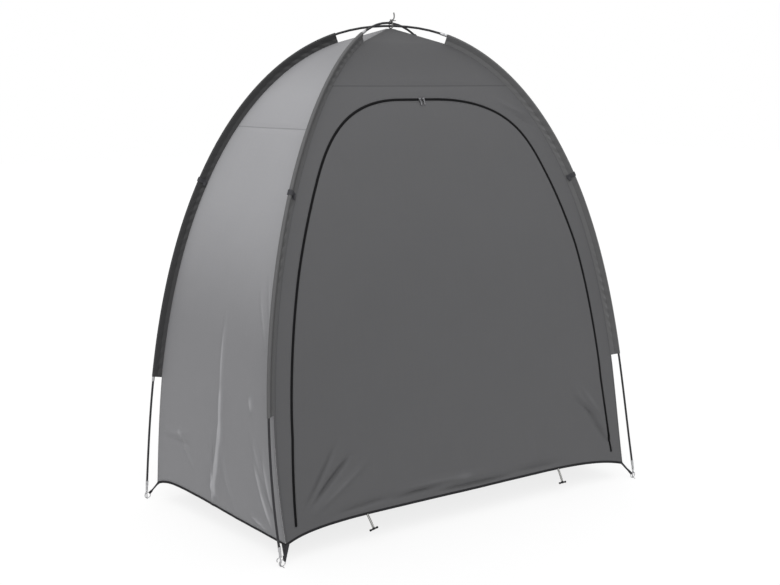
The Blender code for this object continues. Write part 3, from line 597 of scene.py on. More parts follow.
class Finish:
    """A material in the making."""

    def __init__(self, name, roughness, metallic=0.0, **constants):
        self.material = bpy.data.materials.new(name)
        self.material.use_nodes = True
        self.tree = self.material.node_tree
        self.shader = self.tree.nodes["Principled BSDF"]
        self.set(Roughness=roughness, Metallic=metallic, **constants)

    def node(self, kind, settings=None, inputs=None, output=0):
        made = self.tree.nodes.new("ShaderNode" + kind)
        for key, value in (settings or {}).items():
            setattr(made, key, value)
        for key, value in (inputs or {}).items():
            self.feed(made.inputs[key], value)
        return Value(self, made.outputs[output])

    def feed(self, socket, value):
        if isinstance(value, Value):
            self.tree.links.new(value.socket, socket)
        else:
            socket.default_value = value

    def set(self, **inputs):
        for key, value in inputs.items():
            self.feed(self.shader.inputs[key.replace("_", " ")], value)

    def attribute(self, name):
        return self.node("Attribute", {"attribute_name": name}, output=2)

    def position(self):
        return self.node("TexCoord", output=3)

    def map(self):
        """The piece's own UV map, in metres."""
        return self.node("UVMap", {"uv_map": "UVMap"})

    def parts(self, vector):
        split = self.node("SeparateXYZ", inputs={0: vector})
        return [Value(self, output) for output in split.socket.node.outputs]

    def joined(self, *values):
        return self.node("CombineXYZ", inputs=dict(enumerate(values)))

    def noise(self, vector, scale, detail=3.0, roughness=0.5):
        inputs = {"Vector": vector, "Scale": scale, "Detail": detail, "Roughness": roughness}
        return self.node("TexNoise", {}, inputs)

    def stretch(self, vector, scale):
        return self.node("VectorMath", {"operation": "MULTIPLY"}, {0: vector, 1: scale})

    def mix(self, share, first, second):
        """A colour between two."""
        inputs = {0: share, 6: rgba(first), 7: rgba(second)}
        return self.node("Mix", {"data_type": "RGBA"}, inputs, output=2)

    def bump(self, height, depth, strength=1.0, under=None):
        inputs = {"Height": height, "Distance": depth, "Strength": strength}
        if under is not None:
            inputs["Normal"] = under
        return self.node("Bump", {}, inputs)


class Surround(Finish):
    """The light that comes from all round, worked out as a finish is."""

    def __init__(self, world):
        world.use_nodes = True
        self.tree = world.node_tree
        self.shader = self.tree.nodes["Background"]


def rgba(colour):
    return colour if isinstance(colour, Value) else (*colour, 1.0)


def shaded(colour, share):
    return tuple(min(1.0, channel * share) for channel in colour)


# Painted shade: woven cloth is darkened towards the bottom over the first span of heights, and towards the peak
# over the second.
LOW_SHADE_HEIGHTS = (0.62, 1.14)
CROWN_HEIGHTS = (1.40, 1.62)
FOLD_SHOWS = (0.30, 1.1)
TAPE_STITCH = 0.0032


def woven_cloth(name, colour, settings, fade_and_painted_shade=0.05, crown=0.0, pressed_at=0.0):
    """Coated polyester: a fine weave, faint slubs, mottling, painted highlights on fold crests, painted shade
    in fold valleys, low down and near the peak, and stitches beside the seams.
    """
    made = Finish(name, 0.6, Specular_IOR_Level=0.14)
    across, down, _ = made.parts(made.map())
    weave = across.wave(settings.weave_pitch) * down.wave(settings.weave_pitch)
    slub = made.noise(made.joined(across * 9.0, down * 160.0, 0.0), 1.0, 2.0)
    thread = made.noise(made.joined(across * 190.0, down * 7.0, 0.0), 1.0, 2.0)
    place = made.position()
    height = made.parts(place)[2]
    mottle = made.noise(place, 3.2, 4.0, 0.55)
    grime = made.noise(place, 11.0, 4.0, 0.6)
    inset, pitch = settings.stitch_inset, settings.stitch_pitch
    from_stitch, along = made.attribute("stitch_across"), made.attribute("stitch_along")
    in_line = (from_stitch - inset).size().fading(0.0003, 0.0009)
    dash = (along % pitch - pitch * 0.5).size()
    stitch = in_line * dash.fading(pitch * 0.32, pitch * 0.42)
    allowance = from_stitch.fading(0.0015, inset + 0.0015)
    tone = mottle * 0.07 + grime * 0.05 + slub * 0.07 + thread * 0.07 + weave * 0.03 + 0.33
    shade = made.mix(tone, shaded(colour, 0.72), shaded(colour, 1.42))
    shade = made.mix(allowance * 0.22, shade, shaded(colour, 0.62))
    # Painted shade: the cloth is made darker low down and near the peak.
    painted_height_shade = height.between(*LOW_SHADE_HEIGHTS, fade_and_painted_shade, 0.0) + height.between(*CROWN_HEIGHTS, 0.0, crown)
    shade = made.mix(painted_height_shade, shade, (0.0, 0.0, 0.0))
    flank = (made.attribute("zip_edge") - ZIP_STITCHES).size().fading(0.0005, 0.0020)
    shade = made.mix(flank * 0.30, shade, shaded(colour, 1.8))
    # Painted highlight on the crests of folds and ripples; painted shade in their valleys and along the pressed
    # crease.
    fold = made.attribute("fold")
    painted_crest_light, painted_valley_shade = fold.between(*FOLD_SHOWS), (fold * -1.0).between(*FOLD_SHOWS)
    pressed = (height + mottle * 0.003 - pressed_at - 0.0015).size().fading(0.0008, 0.0028)
    shade = made.mix(painted_crest_light * 0.28, shade, shaded(colour, 2.0))
    shade = made.mix((painted_valley_shade * 0.36).most(pressed * 0.4), shade, shaded(colour, 0.45))
    shade = made.mix(stitch * 0.8, shade, shaded(colour, 0.45))
    soft = made.bump(made.noise(place, 26.0, 3.0, 0.6), 0.0012, 0.35)
    fine = made.bump(weave * 0.5 + slub * 0.7 + thread * 0.7, 0.00012, 0.55, soft)
    sewn = made.bump(stitch * 0.6 - in_line * 0.9 + allowance * 0.6 - pressed * 0.6, 0.0007, 0.8, fine)
    made.set(Base_Color=shade, Roughness=0.50 + mottle * 0.12 + slub * 0.10, Normal=sewn)
    return made.material


def ribbed_tape(name, colour, rib, roughness=0.75, thread=3.0):
    """Webbing or binding: ribs across it, a stitch line near each edge, and a patchy tone."""
    made = Finish(name, roughness, Specular_IOR_Level=0.12)
    along, across, _ = made.parts(made.map())
    ribs, lines = along.wave(rib) * 0.5 + 0.5, across.wave(0.0011) * 0.5 + 0.5
    fuzz = made.noise(made.position(), 420.0, 3.0)
    fade_and_painted_shade = made.noise(made.position(), 24.0, 3.0)
    dash = (along % TAPE_STITCH - TAPE_STITCH / 2).size().fading(0.0010, 0.0014)
    stitch = made.attribute("stitch_across").size().fading(0.0002, 0.0006) * dash
    tone = ribs * 0.25 + lines * 0.1 + fuzz * 0.35 + fade_and_painted_shade * 0.3
    shade = made.mix(tone, shaded(colour, 0.6), shaded(colour, 1.5))
    shade = made.mix(stitch * 0.7, shade, shaded(colour, thread))
    under = made.bump(ribs * 0.6 + lines * 0.2 + fuzz * 0.3, 0.0003, 0.7)
    sewn = made.bump(stitch, 0.0004, 0.8, under)
    made.set(Base_Color=shade, Roughness=roughness - 0.1 + fade_and_painted_shade * 0.2, Normal=sewn)
    return made.material


def pole_finish(name, colour):
    """Pultruded fibreglass: long streaks of glass under a satin skin, scuffed here and there."""
    made = Finish(name, 0.38, Specular_IOR_Level=0.2)
    along, round_it, _ = made.parts(made.map())
    streak = made.noise(made.joined(along * 3.0, round_it * 900.0, 0.0), 1.0, 3.0)
    scuff = made.noise(made.joined(along * 60.0, round_it * 300.0, 1.0), 1.0, 4.0, 0.65).between(0.58, 0.72)
    shade = made.mix(streak, shaded(colour, 0.7), shaded(colour, 1.5))
    shade = made.mix(scuff * 0.35, shade, shaded(colour, 3.0))
    made.set(
        Base_Color=shade, Roughness=0.46 + streak * 0.12 + scuff * 0.2,
        Normal=made.bump(streak + scuff * 0.5, 0.00006, 0.6),
    )
    return made.material


def plated_metal(name, colour, roughness=0.32):
    """Zinc-plated steel or aluminium: fine turning marks, dull patches and rubbed spots."""
    made = Finish(name, roughness, metallic=1.0)
    place = made.position()
    lines = made.noise(made.stretch(place, (160.0, 160.0, 2600.0)), 1.0, 2.0)
    patch = made.noise(place, 140.0, 4.0, 0.6)
    dull = patch.between(0.48, 0.66)
    shade = made.mix(lines * 0.4 + patch * 0.6, shaded(colour, 0.82), shaded(colour, 1.12))
    made.set(
        Base_Color=made.mix(dull * 0.4, shade, shaded(colour, 0.6)), Metallic=1.0 - dull * 0.15,
        Roughness=roughness - 0.06 + patch * 0.16 + dull * 0.14,
        Normal=made.bump(lines * 0.5 + patch * 0.5, 0.00008, 0.6),
    )
    return made.material


def moulded_plastic(name, colour):
    """Moulded nylon: a fine spark-eroded grain, scuffs, and a satin shine."""
    made = Finish(name, 0.5, Specular_IOR_Level=0.15)
    place = made.position()
    grain = made.noise(place, 1900.0, 2.0)
    scuff = made.noise(made.stretch(place, (300.0, 900.0, 500.0)), 1.0, 4.0, 0.6).between(0.6, 0.7)
    cloud = made.noise(place, 90.0, 3.0)
    shade = made.mix(cloud, shaded(colour, 0.75), shaded(colour, 1.4))
    made.set(
        Base_Color=made.mix(scuff * 0.3, shade, shaded(colour, 4.0)),
        Roughness=0.44 + cloud * 0.14 + scuff * 0.2, Normal=made.bump(grain, 0.00006, 0.7),
    )
    return made.material


def twisted_cord(name, colour):
    """Twisted polyester cord: painted shade in the grooves between its strands, a painted highlight on their
    crowns, and fine yarns with a little fuzz.
    """
    made = Finish(name, 0.8, Specular_IOR_Level=0.12)
    along, round_it, _ = made.parts(made.map())
    crown = made.attribute("groove")
    yarn = (along * 1.4 + round_it).wave(0.0007) * 0.5 + 0.5
    fuzz = made.noise(made.position(), 900.0, 3.0)
    # Painted shade in the grooves and a painted highlight on the strand crowns.
    tone = crown**3.0 * 0.74 + yarn * 0.10 + fuzz * 0.16
    shade = made.mix(tone, shaded(colour, 0.10), shaded(colour, 1.9))
    rough = made.bump(yarn * 0.5 + fuzz * 0.4, 0.0002, 0.7)
    made.set(Base_Color=shade, Roughness=0.72 + fuzz * 0.15, Normal=rough)
    return made.material


# Meshes in code, for cloth, tape and cord.


def mesh_piece(name, vertices, faces, material):
    mesh = bpy.data.meshes.new(name)
    mesh.from_pydata([tuple(v) for v in np.asarray(vertices, float)], [], [tuple(f) for f in faces])
    mesh.validate()
    mesh.shade_smooth()
    mesh.materials.append(material)
    made = bpy.data.objects.new(name, mesh)
    bpy.context.scene.collection.objects.link(made)
    return made


def lay_map(obj, per_corner):
    layer = obj.data.uv_layers.new(name="UVMap")
    layer.data.foreach_set("uv", np.asarray(per_corner, np.float32).ravel())


def note(obj, name, values):
    """Keeps a number for each point of the mesh, for its finish to read."""
    kept = obj.data.attributes.new(name, "FLOAT", "POINT")
    kept.data.foreach_set("value", np.asarray(values, np.float32).ravel())


def sheet_grid(name, points, material, uv, notes, outside=None):
    """A grid of points as a mesh with its map in metres: a sheet that faces outside, or else a capped tube."""
    rows, columns = points.shape[:2]
    tube = outside is None
    last = columns if tube else columns - 1
    i, j = np.meshgrid(np.arange(last), np.arange(rows - 1))
    i, j = i.ravel(), j.ravel()
    k = (i + 1) % columns
    quads = np.stack((j * columns + i, j * columns + k, (j + 1) * columns + k, (j + 1) * columns + i), 1)
    beside = i + 1 if tube else k
    corners = np.stack((uv[j, i], uv[j, beside], uv[j + 1, beside], uv[j + 1, i]), 1)
    flat = points.reshape(-1, 3)
    centre = flat[quads].mean(1)
    facing = np.cross(flat[quads[:, 2]] - flat[quads[:, 0]], flat[quads[:, 3]] - flat[quads[:, 1]])
    away = centre - points.mean(1)[j] if tube else np.asarray(outside, float)
    if np.sum(facing * away) < 0:
        quads, corners = quads[:, ::-1], corners[:, ::-1]
    faces = [tuple(q) for q in quads]
    per_corner = [corners.reshape(-1, 2)]
    if tube:
        ends = [list(range(columns)), list(range((rows - 1) * columns, rows * columns))]
        inner = (points[1] - points[0]).mean(0), (points[-2] - points[-1]).mean(0)
        for end, inwards in zip(ends, inner):
            spokes = flat[end] - flat[end].mean(0)
            turn = np.cross(spokes, np.roll(spokes, -1, 0)).sum(0)
            faces.append(tuple(end[::-1] if turn @ inwards > 0 else end))
            per_corner.append(np.zeros((columns, 2)))
    made = mesh_piece(name, flat, faces, material)
    lay_map(made, np.concatenate(per_corner))
    for key, values in notes.items():
        note(made, key, np.broadcast_to(values, points.shape[:2]))
    return made


def pick(*objects):
    """Selects these objects and no others, with the first one active."""
    bpy.ops.object.select_all(action="DESELECT")
    for obj in objects:
        obj.select_set(True)
    bpy.context.view_layer.objects.active = objects[0]


def apply_modifiers(obj):
    pick(obj)
    for modifier in list(obj.modifiers):
        bpy.ops.object.modifier_apply(modifier=modifier.name)


def thicken(obj, thickness, offset=-1.0):
    solid = obj.modifiers.new("Thickness", "SOLIDIFY")
    solid.thickness, solid.offset = thickness, offset
    solid.use_even_offset = True
    apply_modifiers(obj)
    bpy.ops.object.shade_smooth_by_angle(angle=math.radians(50))


def keep(obj, slot, *nodes):
    """The piece goes with the tent and stands for CAD nodes, which it hides. The slot is not used."""
    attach(obj, "root")
    if nodes:
        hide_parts(*nodes)
    return obj


def tube_map(line, columns, breadth):
    along, across = np.meshgrid(gone_along(line), np.linspace(0, breadth, columns + 1), indexing="ij")
    return np.stack((along, across), -1)


def smooth_line(points, per_span):
    """A smooth curve through points."""
    points = np.asarray(points, float)
    ends = np.concatenate(([2 * points[0] - points[1]], points, [2 * points[-1] - points[-2]]))
    t = np.linspace(0, 1, per_span, endpoint=False)[:, None]
    spans = []
    for k in range(len(points) - 1):
        a, b, c, d = ends[k : k + 4]
        cubic = (3 * b - a - 3 * c + d) * t**3
        spans.append(0.5 * (2 * b + (c - a) * t + (2 * a - 5 * b + 4 * c - d) * t**2 + cubic))
    return np.concatenate((*spans, points[-1:]))


def rolling_frames(line):
    """Directions square to a line that don't twist about it."""
    run = unit(np.gradient(line, axis=0))
    start = np.cross(run[0], UP if abs(run[0] @ UP) < 0.9 else np.array((1.0, 0.0, 0.0)))
    sides = [unit(start)]
    for k in range(1, len(line)):
        sides.append(unit(sides[-1] - run[k] * (sides[-1] @ run[k])))
    sides = np.array(sides)
    return sides, np.cross(run, sides)


def cord_mesh(name, line, radius, material, pitch, sides, strands=3, taper=0.0):
    """A cord of twisted strands along a line, with the grooves between them and rounded ends."""
    line = spaced(line, radius * 0.14)
    side, up = rolling_frames(line)
    gone = gone_along(line)
    angles = np.linspace(0, 2 * math.pi, sides, endpoint=False)
    crown = np.abs(np.cos((strands * angles - gone[:, None] * 2 * math.pi / pitch) / 2)) ** 0.7
    from_end = np.minimum(gone, gone[-1] - gone)
    closing = np.sqrt(np.clip(1 - (1 - np.clip(from_end / (radius * 0.6), 0, 1)) ** 2, 0.02, 1))
    slim = 1 - taper * gone / gone[-1]
    reach = radius * (0.86 + 0.14 * crown) * (closing * slim)[:, None]
    points = line[:, None] + side[:, None] * (reach * np.cos(angles))[..., None]
    points = points + up[:, None] * (reach * np.sin(angles))[..., None]
    mapped = tube_map(line, sides, 2 * math.pi * radius)
    # The crown note drives the finish's painted shade in the grooves and painted highlight on the strands.
    return sheet_grid(name, points, material, mapped, {"groove": crown})


# Rigid pieces, modelled with Blender's own tools.

SHARP_ANGLE = math.radians(40)


def turned(name, profile, steps, place, direction, material):
    """A profile of (radius, height), drawn by extruding one point and spun round an axis along direction."""
    bpy.ops.object.select_all(action="DESELECT")
    bpy.ops.mesh.primitive_plane_add(size=0.01)
    made = bpy.context.object
    made.name = name
    bpy.ops.object.mode_set(mode="EDIT")
    bpy.ops.mesh.select_mode(type="VERT")
    bpy.ops.mesh.select_all(action="SELECT")
    bpy.ops.mesh.merge(type="CENTER")
    bpy.ops.transform.translate(value=(profile[0][0], 0, profile[0][1]))
    for (radius, height), (next_radius, next_height) in zip(profile, profile[1:]):
        step = (next_radius - radius, 0, next_height - height)
        bpy.ops.mesh.extrude_vertices_move(TRANSFORM_OT_translate={"value": step})
    bpy.ops.mesh.select_all(action="SELECT")
    bpy.ops.mesh.spin(steps=steps, angle=2 * math.pi, center=(0, 0, 0), axis=(0, 0, 1))
    bpy.ops.mesh.select_all(action="SELECT")
    bpy.ops.mesh.remove_doubles(threshold=0.000004)
    bpy.ops.mesh.normals_make_consistent(inside=False)
    bpy.ops.object.mode_set(mode="OBJECT")
    turn = Vector(direction).to_track_quat("Z", "Y").to_matrix().to_4x4()
    settle(made, Matrix.Translation(Vector(place)) @ turn)
    bpy.ops.object.shade_smooth_by_angle(angle=SHARP_ANGLE)
    made.data.materials.append(material)
    return made


def settle(obj, matrix):
    """Puts a piece in its place, with the place kept in its mesh."""
    pick(obj)
    obj.matrix_world = matrix
    bpy.ops.object.transform_apply(location=True, rotation=True, scale=True)


def joined(name, *parts):
    """Several meshes made one piece."""
    pick(*parts)
    bpy.ops.object.join()
    parts[0].name = name
    return parts[0]


def arc(radius, first, last, count):
    """Points (across, up) round an arc, with its angles in degrees."""
    angles = np.radians(np.linspace(first, last, count))
    return np.stack((radius * np.cos(angles), radius * np.sin(angles)), 1)


# Settings that a user would change.


def colour_setting(name, description, default):
    return FloatVectorProperty(
        name=name, description=description, subtype="COLOR", default=default, min=0, max=1,
    )


def length_setting(name, description, default, low, high):
    return FloatProperty(
        name=name, description=description, default=default, min=low, max=high, unit="LENGTH", precision=5,
    )


class TentCloth(bpy.types.PropertyGroup):
    """Colours and scale of the cloth."""

    front: colour_setting("Front and back", "Colour of the front and back walls", (0.083, 0.083, 0.086))
    side: colour_setting("Sides", "Colour of the left and right walls", (0.272, 0.272, 0.282))
    sleeve: colour_setting("Sleeves", "Colour of the sleeves of the front legs", (0.088, 0.088, 0.0895))
    back_sleeve: colour_setting("Back sleeves", "Colour of the sleeves of the back legs", (0.038, 0.038, 0.039))
    binding: colour_setting("Binding", "Colour of the hem binding and webbing", (0.015, 0.015, 0.0165))
    thickness: length_setting("Cloth thickness", "Thickness of the wall cloth", 0.0008, 0.0002, 0.002)
    sleeve_thickness: length_setting(
        "Sleeve thickness", "Thickness of each layer of a sleeve", 0.0006, 0.0002, 0.001,
    )
    weave_pitch: length_setting("Weave pitch", "Width of two threads of the weave", 0.0012, 0.0002, 0.01)
    stitch_pitch: length_setting("Stitch pitch", "Length of a stitch and its gap", 0.0034, 0.001, 0.01)
    stitch_inset: length_setting("Stitch inset", "Distance of the stitches from the seam", 0.006, 0.002, 0.02)
    columns: IntProperty(name="Columns", description="Points across each wall", default=190, min=20, max=200)
    rows: IntProperty(name="Rows", description="Points down each wall", default=190, min=20, max=240)


class TentFittings(bpy.types.PropertyGroup):
    """Colours and sizes of the poles, zip, cords and metal."""

    pole: colour_setting("Poles", "Colour of the fibreglass poles", (0.020, 0.020, 0.022))
    pole_radius: length_setting("Pole radius", "Radius of the bare pole", 0.0038, 0.002, 0.008)
    zip: colour_setting("Zip", "Colour of the zip", (0.004, 0.004, 0.0045))
    slider: colour_setting("Sliders", "Colour of the zip sliders", (0.24, 0.24, 0.25))
    metal: colour_setting("Metal", "Colour of the ferrules, tips, pins and rings", (0.46, 0.46, 0.47))
    tie: colour_setting("Tie", "Colour of the tie at the crossing", (0.15, 0.15, 0.147))
    cord: colour_setting("Toggle cord", "Colour of the elastic cord", (0.25, 0.25, 0.243))
    cord_radius: length_setting("Toggle cord radius", "Radius of the elastic cord", 0.004, 0.001, 0.01)
    plastic: colour_setting("Toggle bars", "Colour of the moulded bars", (0.008, 0.008, 0.009))
    bar_length: length_setting("Toggle bar length", "Length of the moulded bars", 0.032, 0.01, 0.1)


class TentStage(bpy.types.PropertyGroup):
    """Floor, light and camera."""

    floor: colour_setting("Floor", "Colour of the floor", (0.15, 0.15, 0.15))
    glow: FloatProperty(
        name="Floor glow", description="Light from the floor itself", default=0.81, min=0, max=1,
    )
    zenith: FloatProperty(
        name="Light from above", description="Strength overhead", default=1.85, min=0, max=10,
    )
    horizon: FloatProperty(
        name="Light from round about", description="Strength level with the tent", default=0.25, min=0, max=10,
    )
    key: FloatProperty(
        name="Key light", description="Strength of the large soft light", default=1.9, min=0, max=20,
    )
    lens: FloatProperty(
        name="Lens", description="Focal length", default=51.277, min=10, max=200, unit="CAMERA",
    )


# One operator for the stage, and one for each piece or group of like pieces.


class TENT_OT_stage(bpy.types.Operator):
    """Adds the camera at the picture's angle, the pale floor and the soft light."""

    bl_idname = "tent.stage"
    bl_label = "Stage"

    def execute(self, context):
        settings = context.scene.tent_stage
        scene = context.scene
        scene.view_settings.view_transform = "Standard"
        bpy.ops.object.camera_add()
        camera = context.object
        camera.name = "camera"
        camera.data.lens = settings.lens
        camera.data.sensor_width = CAMERA_SENSOR
        level = Vector((-math.sin(CAMERA_HEADING), math.cos(CAMERA_HEADING), 0))
        ahead = level * math.cos(CAMERA_TILT) - Vector((0, 0, math.sin(CAMERA_TILT)))
        right = ahead.cross(Vector((0, 0, 1))).normalized()
        above = right.cross(ahead)
        turned_right = right * math.cos(CAMERA_ROLL) + above * math.sin(CAMERA_ROLL)
        turned_up = above * math.cos(CAMERA_ROLL) - right * math.sin(CAMERA_ROLL)
        turn = Matrix((turned_right, turned_up, -ahead)).transposed().to_4x4()
        camera.matrix_world = Matrix.Translation(CAMERA_PLACE) @ turn
        camera.data.clip_start, camera.data.clip_end = 0.05, 60
        scene.camera = camera

        bpy.ops.mesh.primitive_grid_add(
            x_subdivisions=4, y_subdivisions=4, size=FLOOR_SIDE, location=(0, 0, -FLOOR_DROP),
        )
        floor = context.object
        floor.name = "floor"
        bpy.ops.object.transform_apply()
        made = Finish("pale_floor", 0.9, Specular_IOR_Level=0.1, Emission_Strength=settings.glow)
        made.set(Emission_Color=(1.0, 1.0, 1.0, 1.0))
        grain = made.noise(made.position(), 5.0, 2.0)
        made.set(Base_Color=made.mix(grain, shaded(settings.floor, 0.99), shaded(settings.floor, 1.01)))
        floor.data.materials.append(made.material)

        scene.world = scene.world or bpy.data.worlds.new("surround")
        sky = Surround(scene.world)
        upwards = sky.parts(sky.node("TexCoord"))[2].most(0.0)
        seen = sky.node("LightPath")
        light = upwards**2.0 * (settings.zenith - settings.horizon) + settings.horizon
        sky.set(Color=(1.0, 1.0, 1.0, 1.0), Strength=light * (1 - seen) + seen)
        bpy.ops.object.light_add(type="SUN", location=(-1.5, -1.5, 4))
        key = context.object
        key.name = "key_light"
        key.data.energy, key.data.angle = settings.key, KEY_SPREAD
        key.rotation_euler = Vector(KEY_DIRECTION).to_track_quat("-Z", "Y").to_euler()
        return {"FINISHED"}


def wall_cloth(name, wall, material, settings):
    """A wall as one woven sheet, and the distance of its points from the nearest stitched edge."""
    shares = column_shares(settings.columns)
    stages, fall = wall.rows(settings.rows)
    share, stage = np.meshgrid(shares, stages)
    stage = wall.down_to_hem(share, stage)
    points = wall.cloth(share, stage)
    down = np.broadcast_to(fall[:, None], share.shape)
    width = np.linalg.norm(points[:, -1] - points[:, 0], axis=1)[:, None]
    from_hem = np.linalg.norm(points - points[-1:], axis=2)
    sides = np.minimum(share, 1 - share) * width
    from_edge = np.minimum(sides, from_hem)
    along = np.where(sides < from_hem, down, points @ wall.axis)
    uv = np.stack((points @ wall.axis, -down), -1)
    # The fold note drives the painted highlight on crease crests and painted shade in their valleys.
    notes = {"stitch_across": from_edge, "stitch_along": along, "fold": wall.folds(share, stage) / FULL_FOLD}
    made = sheet_grid(name, points, material, uv, notes, outside=wall.outside)
    thicken(made, settings.thickness)
    return made


def sheet_facts(wall):
    """Width, length and area of the flat cut of a wall."""
    stages, fall = wall.rows(200)
    width = wall.width(stages)
    area = float(np.sum((width[1:] + width[:-1]) / 2 * np.diff(fall)))
    return (float(width.max()), float(fall[-1])), area


class TENT_OT_walls(bpy.types.Operator):
    """Sews the left, right and back walls."""

    bl_idname = "tent.walls"
    bl_label = "Side and back walls"

    def execute(self, context):
        settings = context.scene.tent_cloth
        # Painted shade: the side cloth is darkened strongly low down and near the peak, the back cloth near the
        # peak and a little low down.
        side = woven_cloth("side_cloth", settings.side, settings, fade_and_painted_shade=0.34, crown=0.30, pressed_at=1.316)
        back = woven_cloth("back_cloth", settings.front, settings, crown=0.22, pressed_at=1.441)
        for name, material, slot in (
            ("left", side, "light_grey_fabric"), ("right", side, "light_grey_fabric"),
            ("back", back, "charcoal_fabric"),
        ):
            made = wall_cloth(name + "_wall_cloth", WALLS[name], material, settings)
            keep(made, slot, name + "_wall")
            flat, area = sheet_facts(WALLS[name])
        return {"FINISHED"}


def inside(points, outline):
    """Whether each point lies inside a closed outline."""
    found = np.zeros(len(points), bool)
    for (x1, y1), (x2, y2) in zip(outline, np.roll(outline, -1, 0)):
        crosses = (points[:, 1] < y1) != (points[:, 1] < y2)
        with np.errstate(divide="ignore", invalid="ignore"):
            at = x1 + (points[:, 1] - y1) * (x2 - x1) / (y2 - y1)
        found ^= crosses & (points[:, 0] < at)
    return found


def front_triangles(settings):
    """The front wall's points and triangles, with the door's outline among its edges."""
    wall = WALLS["front"]
    stages, fall = wall.rows(settings.rows)
    share, stage = np.meshgrid(column_shares(settings.columns), stages)
    outline = spaced(door_outline(), 0.008)
    sill = np.linspace(outline[-1], outline[0], 150)[1:-1]
    ring = np.concatenate((outline, sill))
    ring_share, ring_stage = wall.share_and_stage(ring[:, 0], ring[:, 1])
    squeeze = np.where(ring_stage > 3, 3 + (ring_stage - 3) / (wall.hem_stage(ring_share) - 3), ring_stage)
    ring_flat = np.stack((ring_share * FRONT_BREADTH, np.interp(squeeze, stages, fall)), 1)
    grid_flat = np.stack((share.ravel() * FRONT_BREADTH, np.repeat(fall, settings.columns)), 1)
    near = from_zip = np.full(len(grid_flat), np.inf)
    for k, (start, end) in enumerate(zip(ring_flat, np.roll(ring_flat, -1, 0))):
        near = np.minimum(near, from_segment(grid_flat, start, end - start)[1])
        if k == len(outline) - 2:
            from_zip = near
    kept = near > ZIP_CLEAR
    sill_from_zip = np.min(np.linalg.norm(sill[:, None] - outline[[0, -1]][None], axis=2), axis=1)
    from_zip = np.concatenate((np.zeros(len(outline)), sill_from_zip, from_zip[kept]))
    flat = np.concatenate((ring_flat, grid_flat[kept]))
    edges = [(k, (k + 1) % len(ring)) for k in range(len(ring))]
    result = geometry.delaunay_2d_cdt([Vector(p) for p in flat], edges, [], 0, 1e-7)
    if len(result[0]) != len(flat):
        raise RuntimeError("The door's outline crosses the cloth's points")
    order = [origin[0] for origin in result[3]]
    faces = np.array([[order[k] for k in face] for face in result[2]])
    shares = np.concatenate((ring_share, share.ravel()[kept]))
    all_stages = np.concatenate((ring_stage, wall.down_to_hem(share, stage).ravel()[kept]))
    points = wall.cloth(shares, all_stages)
    in_door = inside(flat[faces].mean(1), ring_flat)
    return points, faces, in_door, flat, from_zip, shares, wall.folds(shares, all_stages) / FULL_FOLD


class TENT_OT_front(bpy.types.Operator):
    """Sews the front wall and the door panel, which meet under the zip."""

    bl_idname = "tent.front"
    bl_label = "Front wall and door"

    def execute(self, context):
        settings = context.scene.tent_cloth
        # Painted shade: the front cloth is darkened near the peak and a little low down.
        material = woven_cloth("front_cloth", settings.front, settings, crown=0.22, pressed_at=1.447)
        wall = WALLS["front"]
        points, faces, in_door, flat, from_zip, shares, folds = front_triangles(settings)
        from_seam = wall.from_seam(shares, 3)
        for name, chosen, node, flat_cut, area in (
            ("front_wall_cloth", ~in_door, "front_wall", (0.34, 3.4), 0.37),
            ("door_cloth", in_door, "door_panel", (1.34, 1.30), 1.44),
        ):
            used = np.unique(faces[chosen])
            place = np.full(len(points), -1)
            place[used] = np.arange(len(used))
            piece_faces = place[faces[chosen]]
            piece = points[used]
            corners = piece[piece_faces]
            facing = np.cross(corners[:, 1] - corners[:, 0], corners[:, 2] - corners[:, 0])
            if np.sum(facing @ wall.outside) < 0:
                piece_faces = piece_faces[:, ::-1]
            made = mesh_piece(name, piece, piece_faces, material)
            uv = np.stack((piece[:, 0], -flat[used, 1]), 1)
            lay_map(made, uv[piece_faces.ravel()])
            edge = from_zip[used] - ZIP_STITCHES + settings.stitch_inset
            note(made, "stitch_across", edge if node == "door_panel" else np.minimum(edge, from_seam[used]))
            note(made, "stitch_along", flat[used, 1])
            # The fold note drives the painted highlight on crease crests and painted shade in their valleys.
            note(made, "fold", folds[used])
            note(made, "zip_edge", from_zip[used])
            thicken(made, settings.thickness)
            keep(made, "charcoal_fabric", node)
        return {"FINISHED"}


class TENT_OT_hems(bpy.types.Operator):
    """Folds a dark binding round the lower edge of each wall."""

    bl_idname = "tent.hems"
    bl_label = "Hem bindings"

    def execute(self, context):
        settings = context.scene.tent_cloth
        material = ribbed_tape("hem_binding", settings.binding, 0.0014)
        section = np.array(BINDING_SECTION)
        for name, wall in WALLS.items():
            share = 0.5 - 0.5 * np.cos(np.linspace(0, math.pi, 260))
            edge = wall.hem_stage(share)
            top = wall.cloth(share, edge)
            down = unit(wall.flat(share, wall.hem_stage(share, HEM_BINDING)) - wall.flat(share, edge))
            normal = wall.normal(share, edge)
            points = top[:, None] + down[:, None] * section[:, :1] + normal[:, None] * section[:, 1:]
            made = sheet_grid(
                f"hem_{name}_binding", points, material, tube_map(top, len(section), BINDING_GIRTH),
                {"stitch_across": np.abs(section[:, 0] - 0.0015)[None]},
            )
            keep(made, "webbing", "hem_" + name)
        return {"FINISHED"}


def front_surface():
    """The creased front wall, to lay the zip on."""
    wall = WALLS["front"]
    stages, _ = wall.rows(260)
    share, stage = np.meshgrid(np.linspace(0, 1, 220), stages)
    points = wall.cloth(share, wall.down_to_hem(share, stage))
    rows, columns = share.shape
    i, j = np.meshgrid(np.arange(columns - 1), np.arange(rows - 1))
    start = (j * columns + i).ravel()
    faces = np.stack((start, start + 1, start + columns + 1, start + columns), 1)
    return BVHTree.FromPolygons([Vector(p) for p in points.reshape(-1, 3)], faces.tolist())


def on_front(surface, x, height):
    hit, normal, _, _ = surface.ray_cast(Vector((x, -1.0, height)), Vector((0, 1, 0)))
    if hit is None:
        raise RuntimeError(f"Nothing of the front wall at {x:.3f}, {height:.3f}")
    return np.array(hit), np.array(normal if normal.y < 0 else -normal)


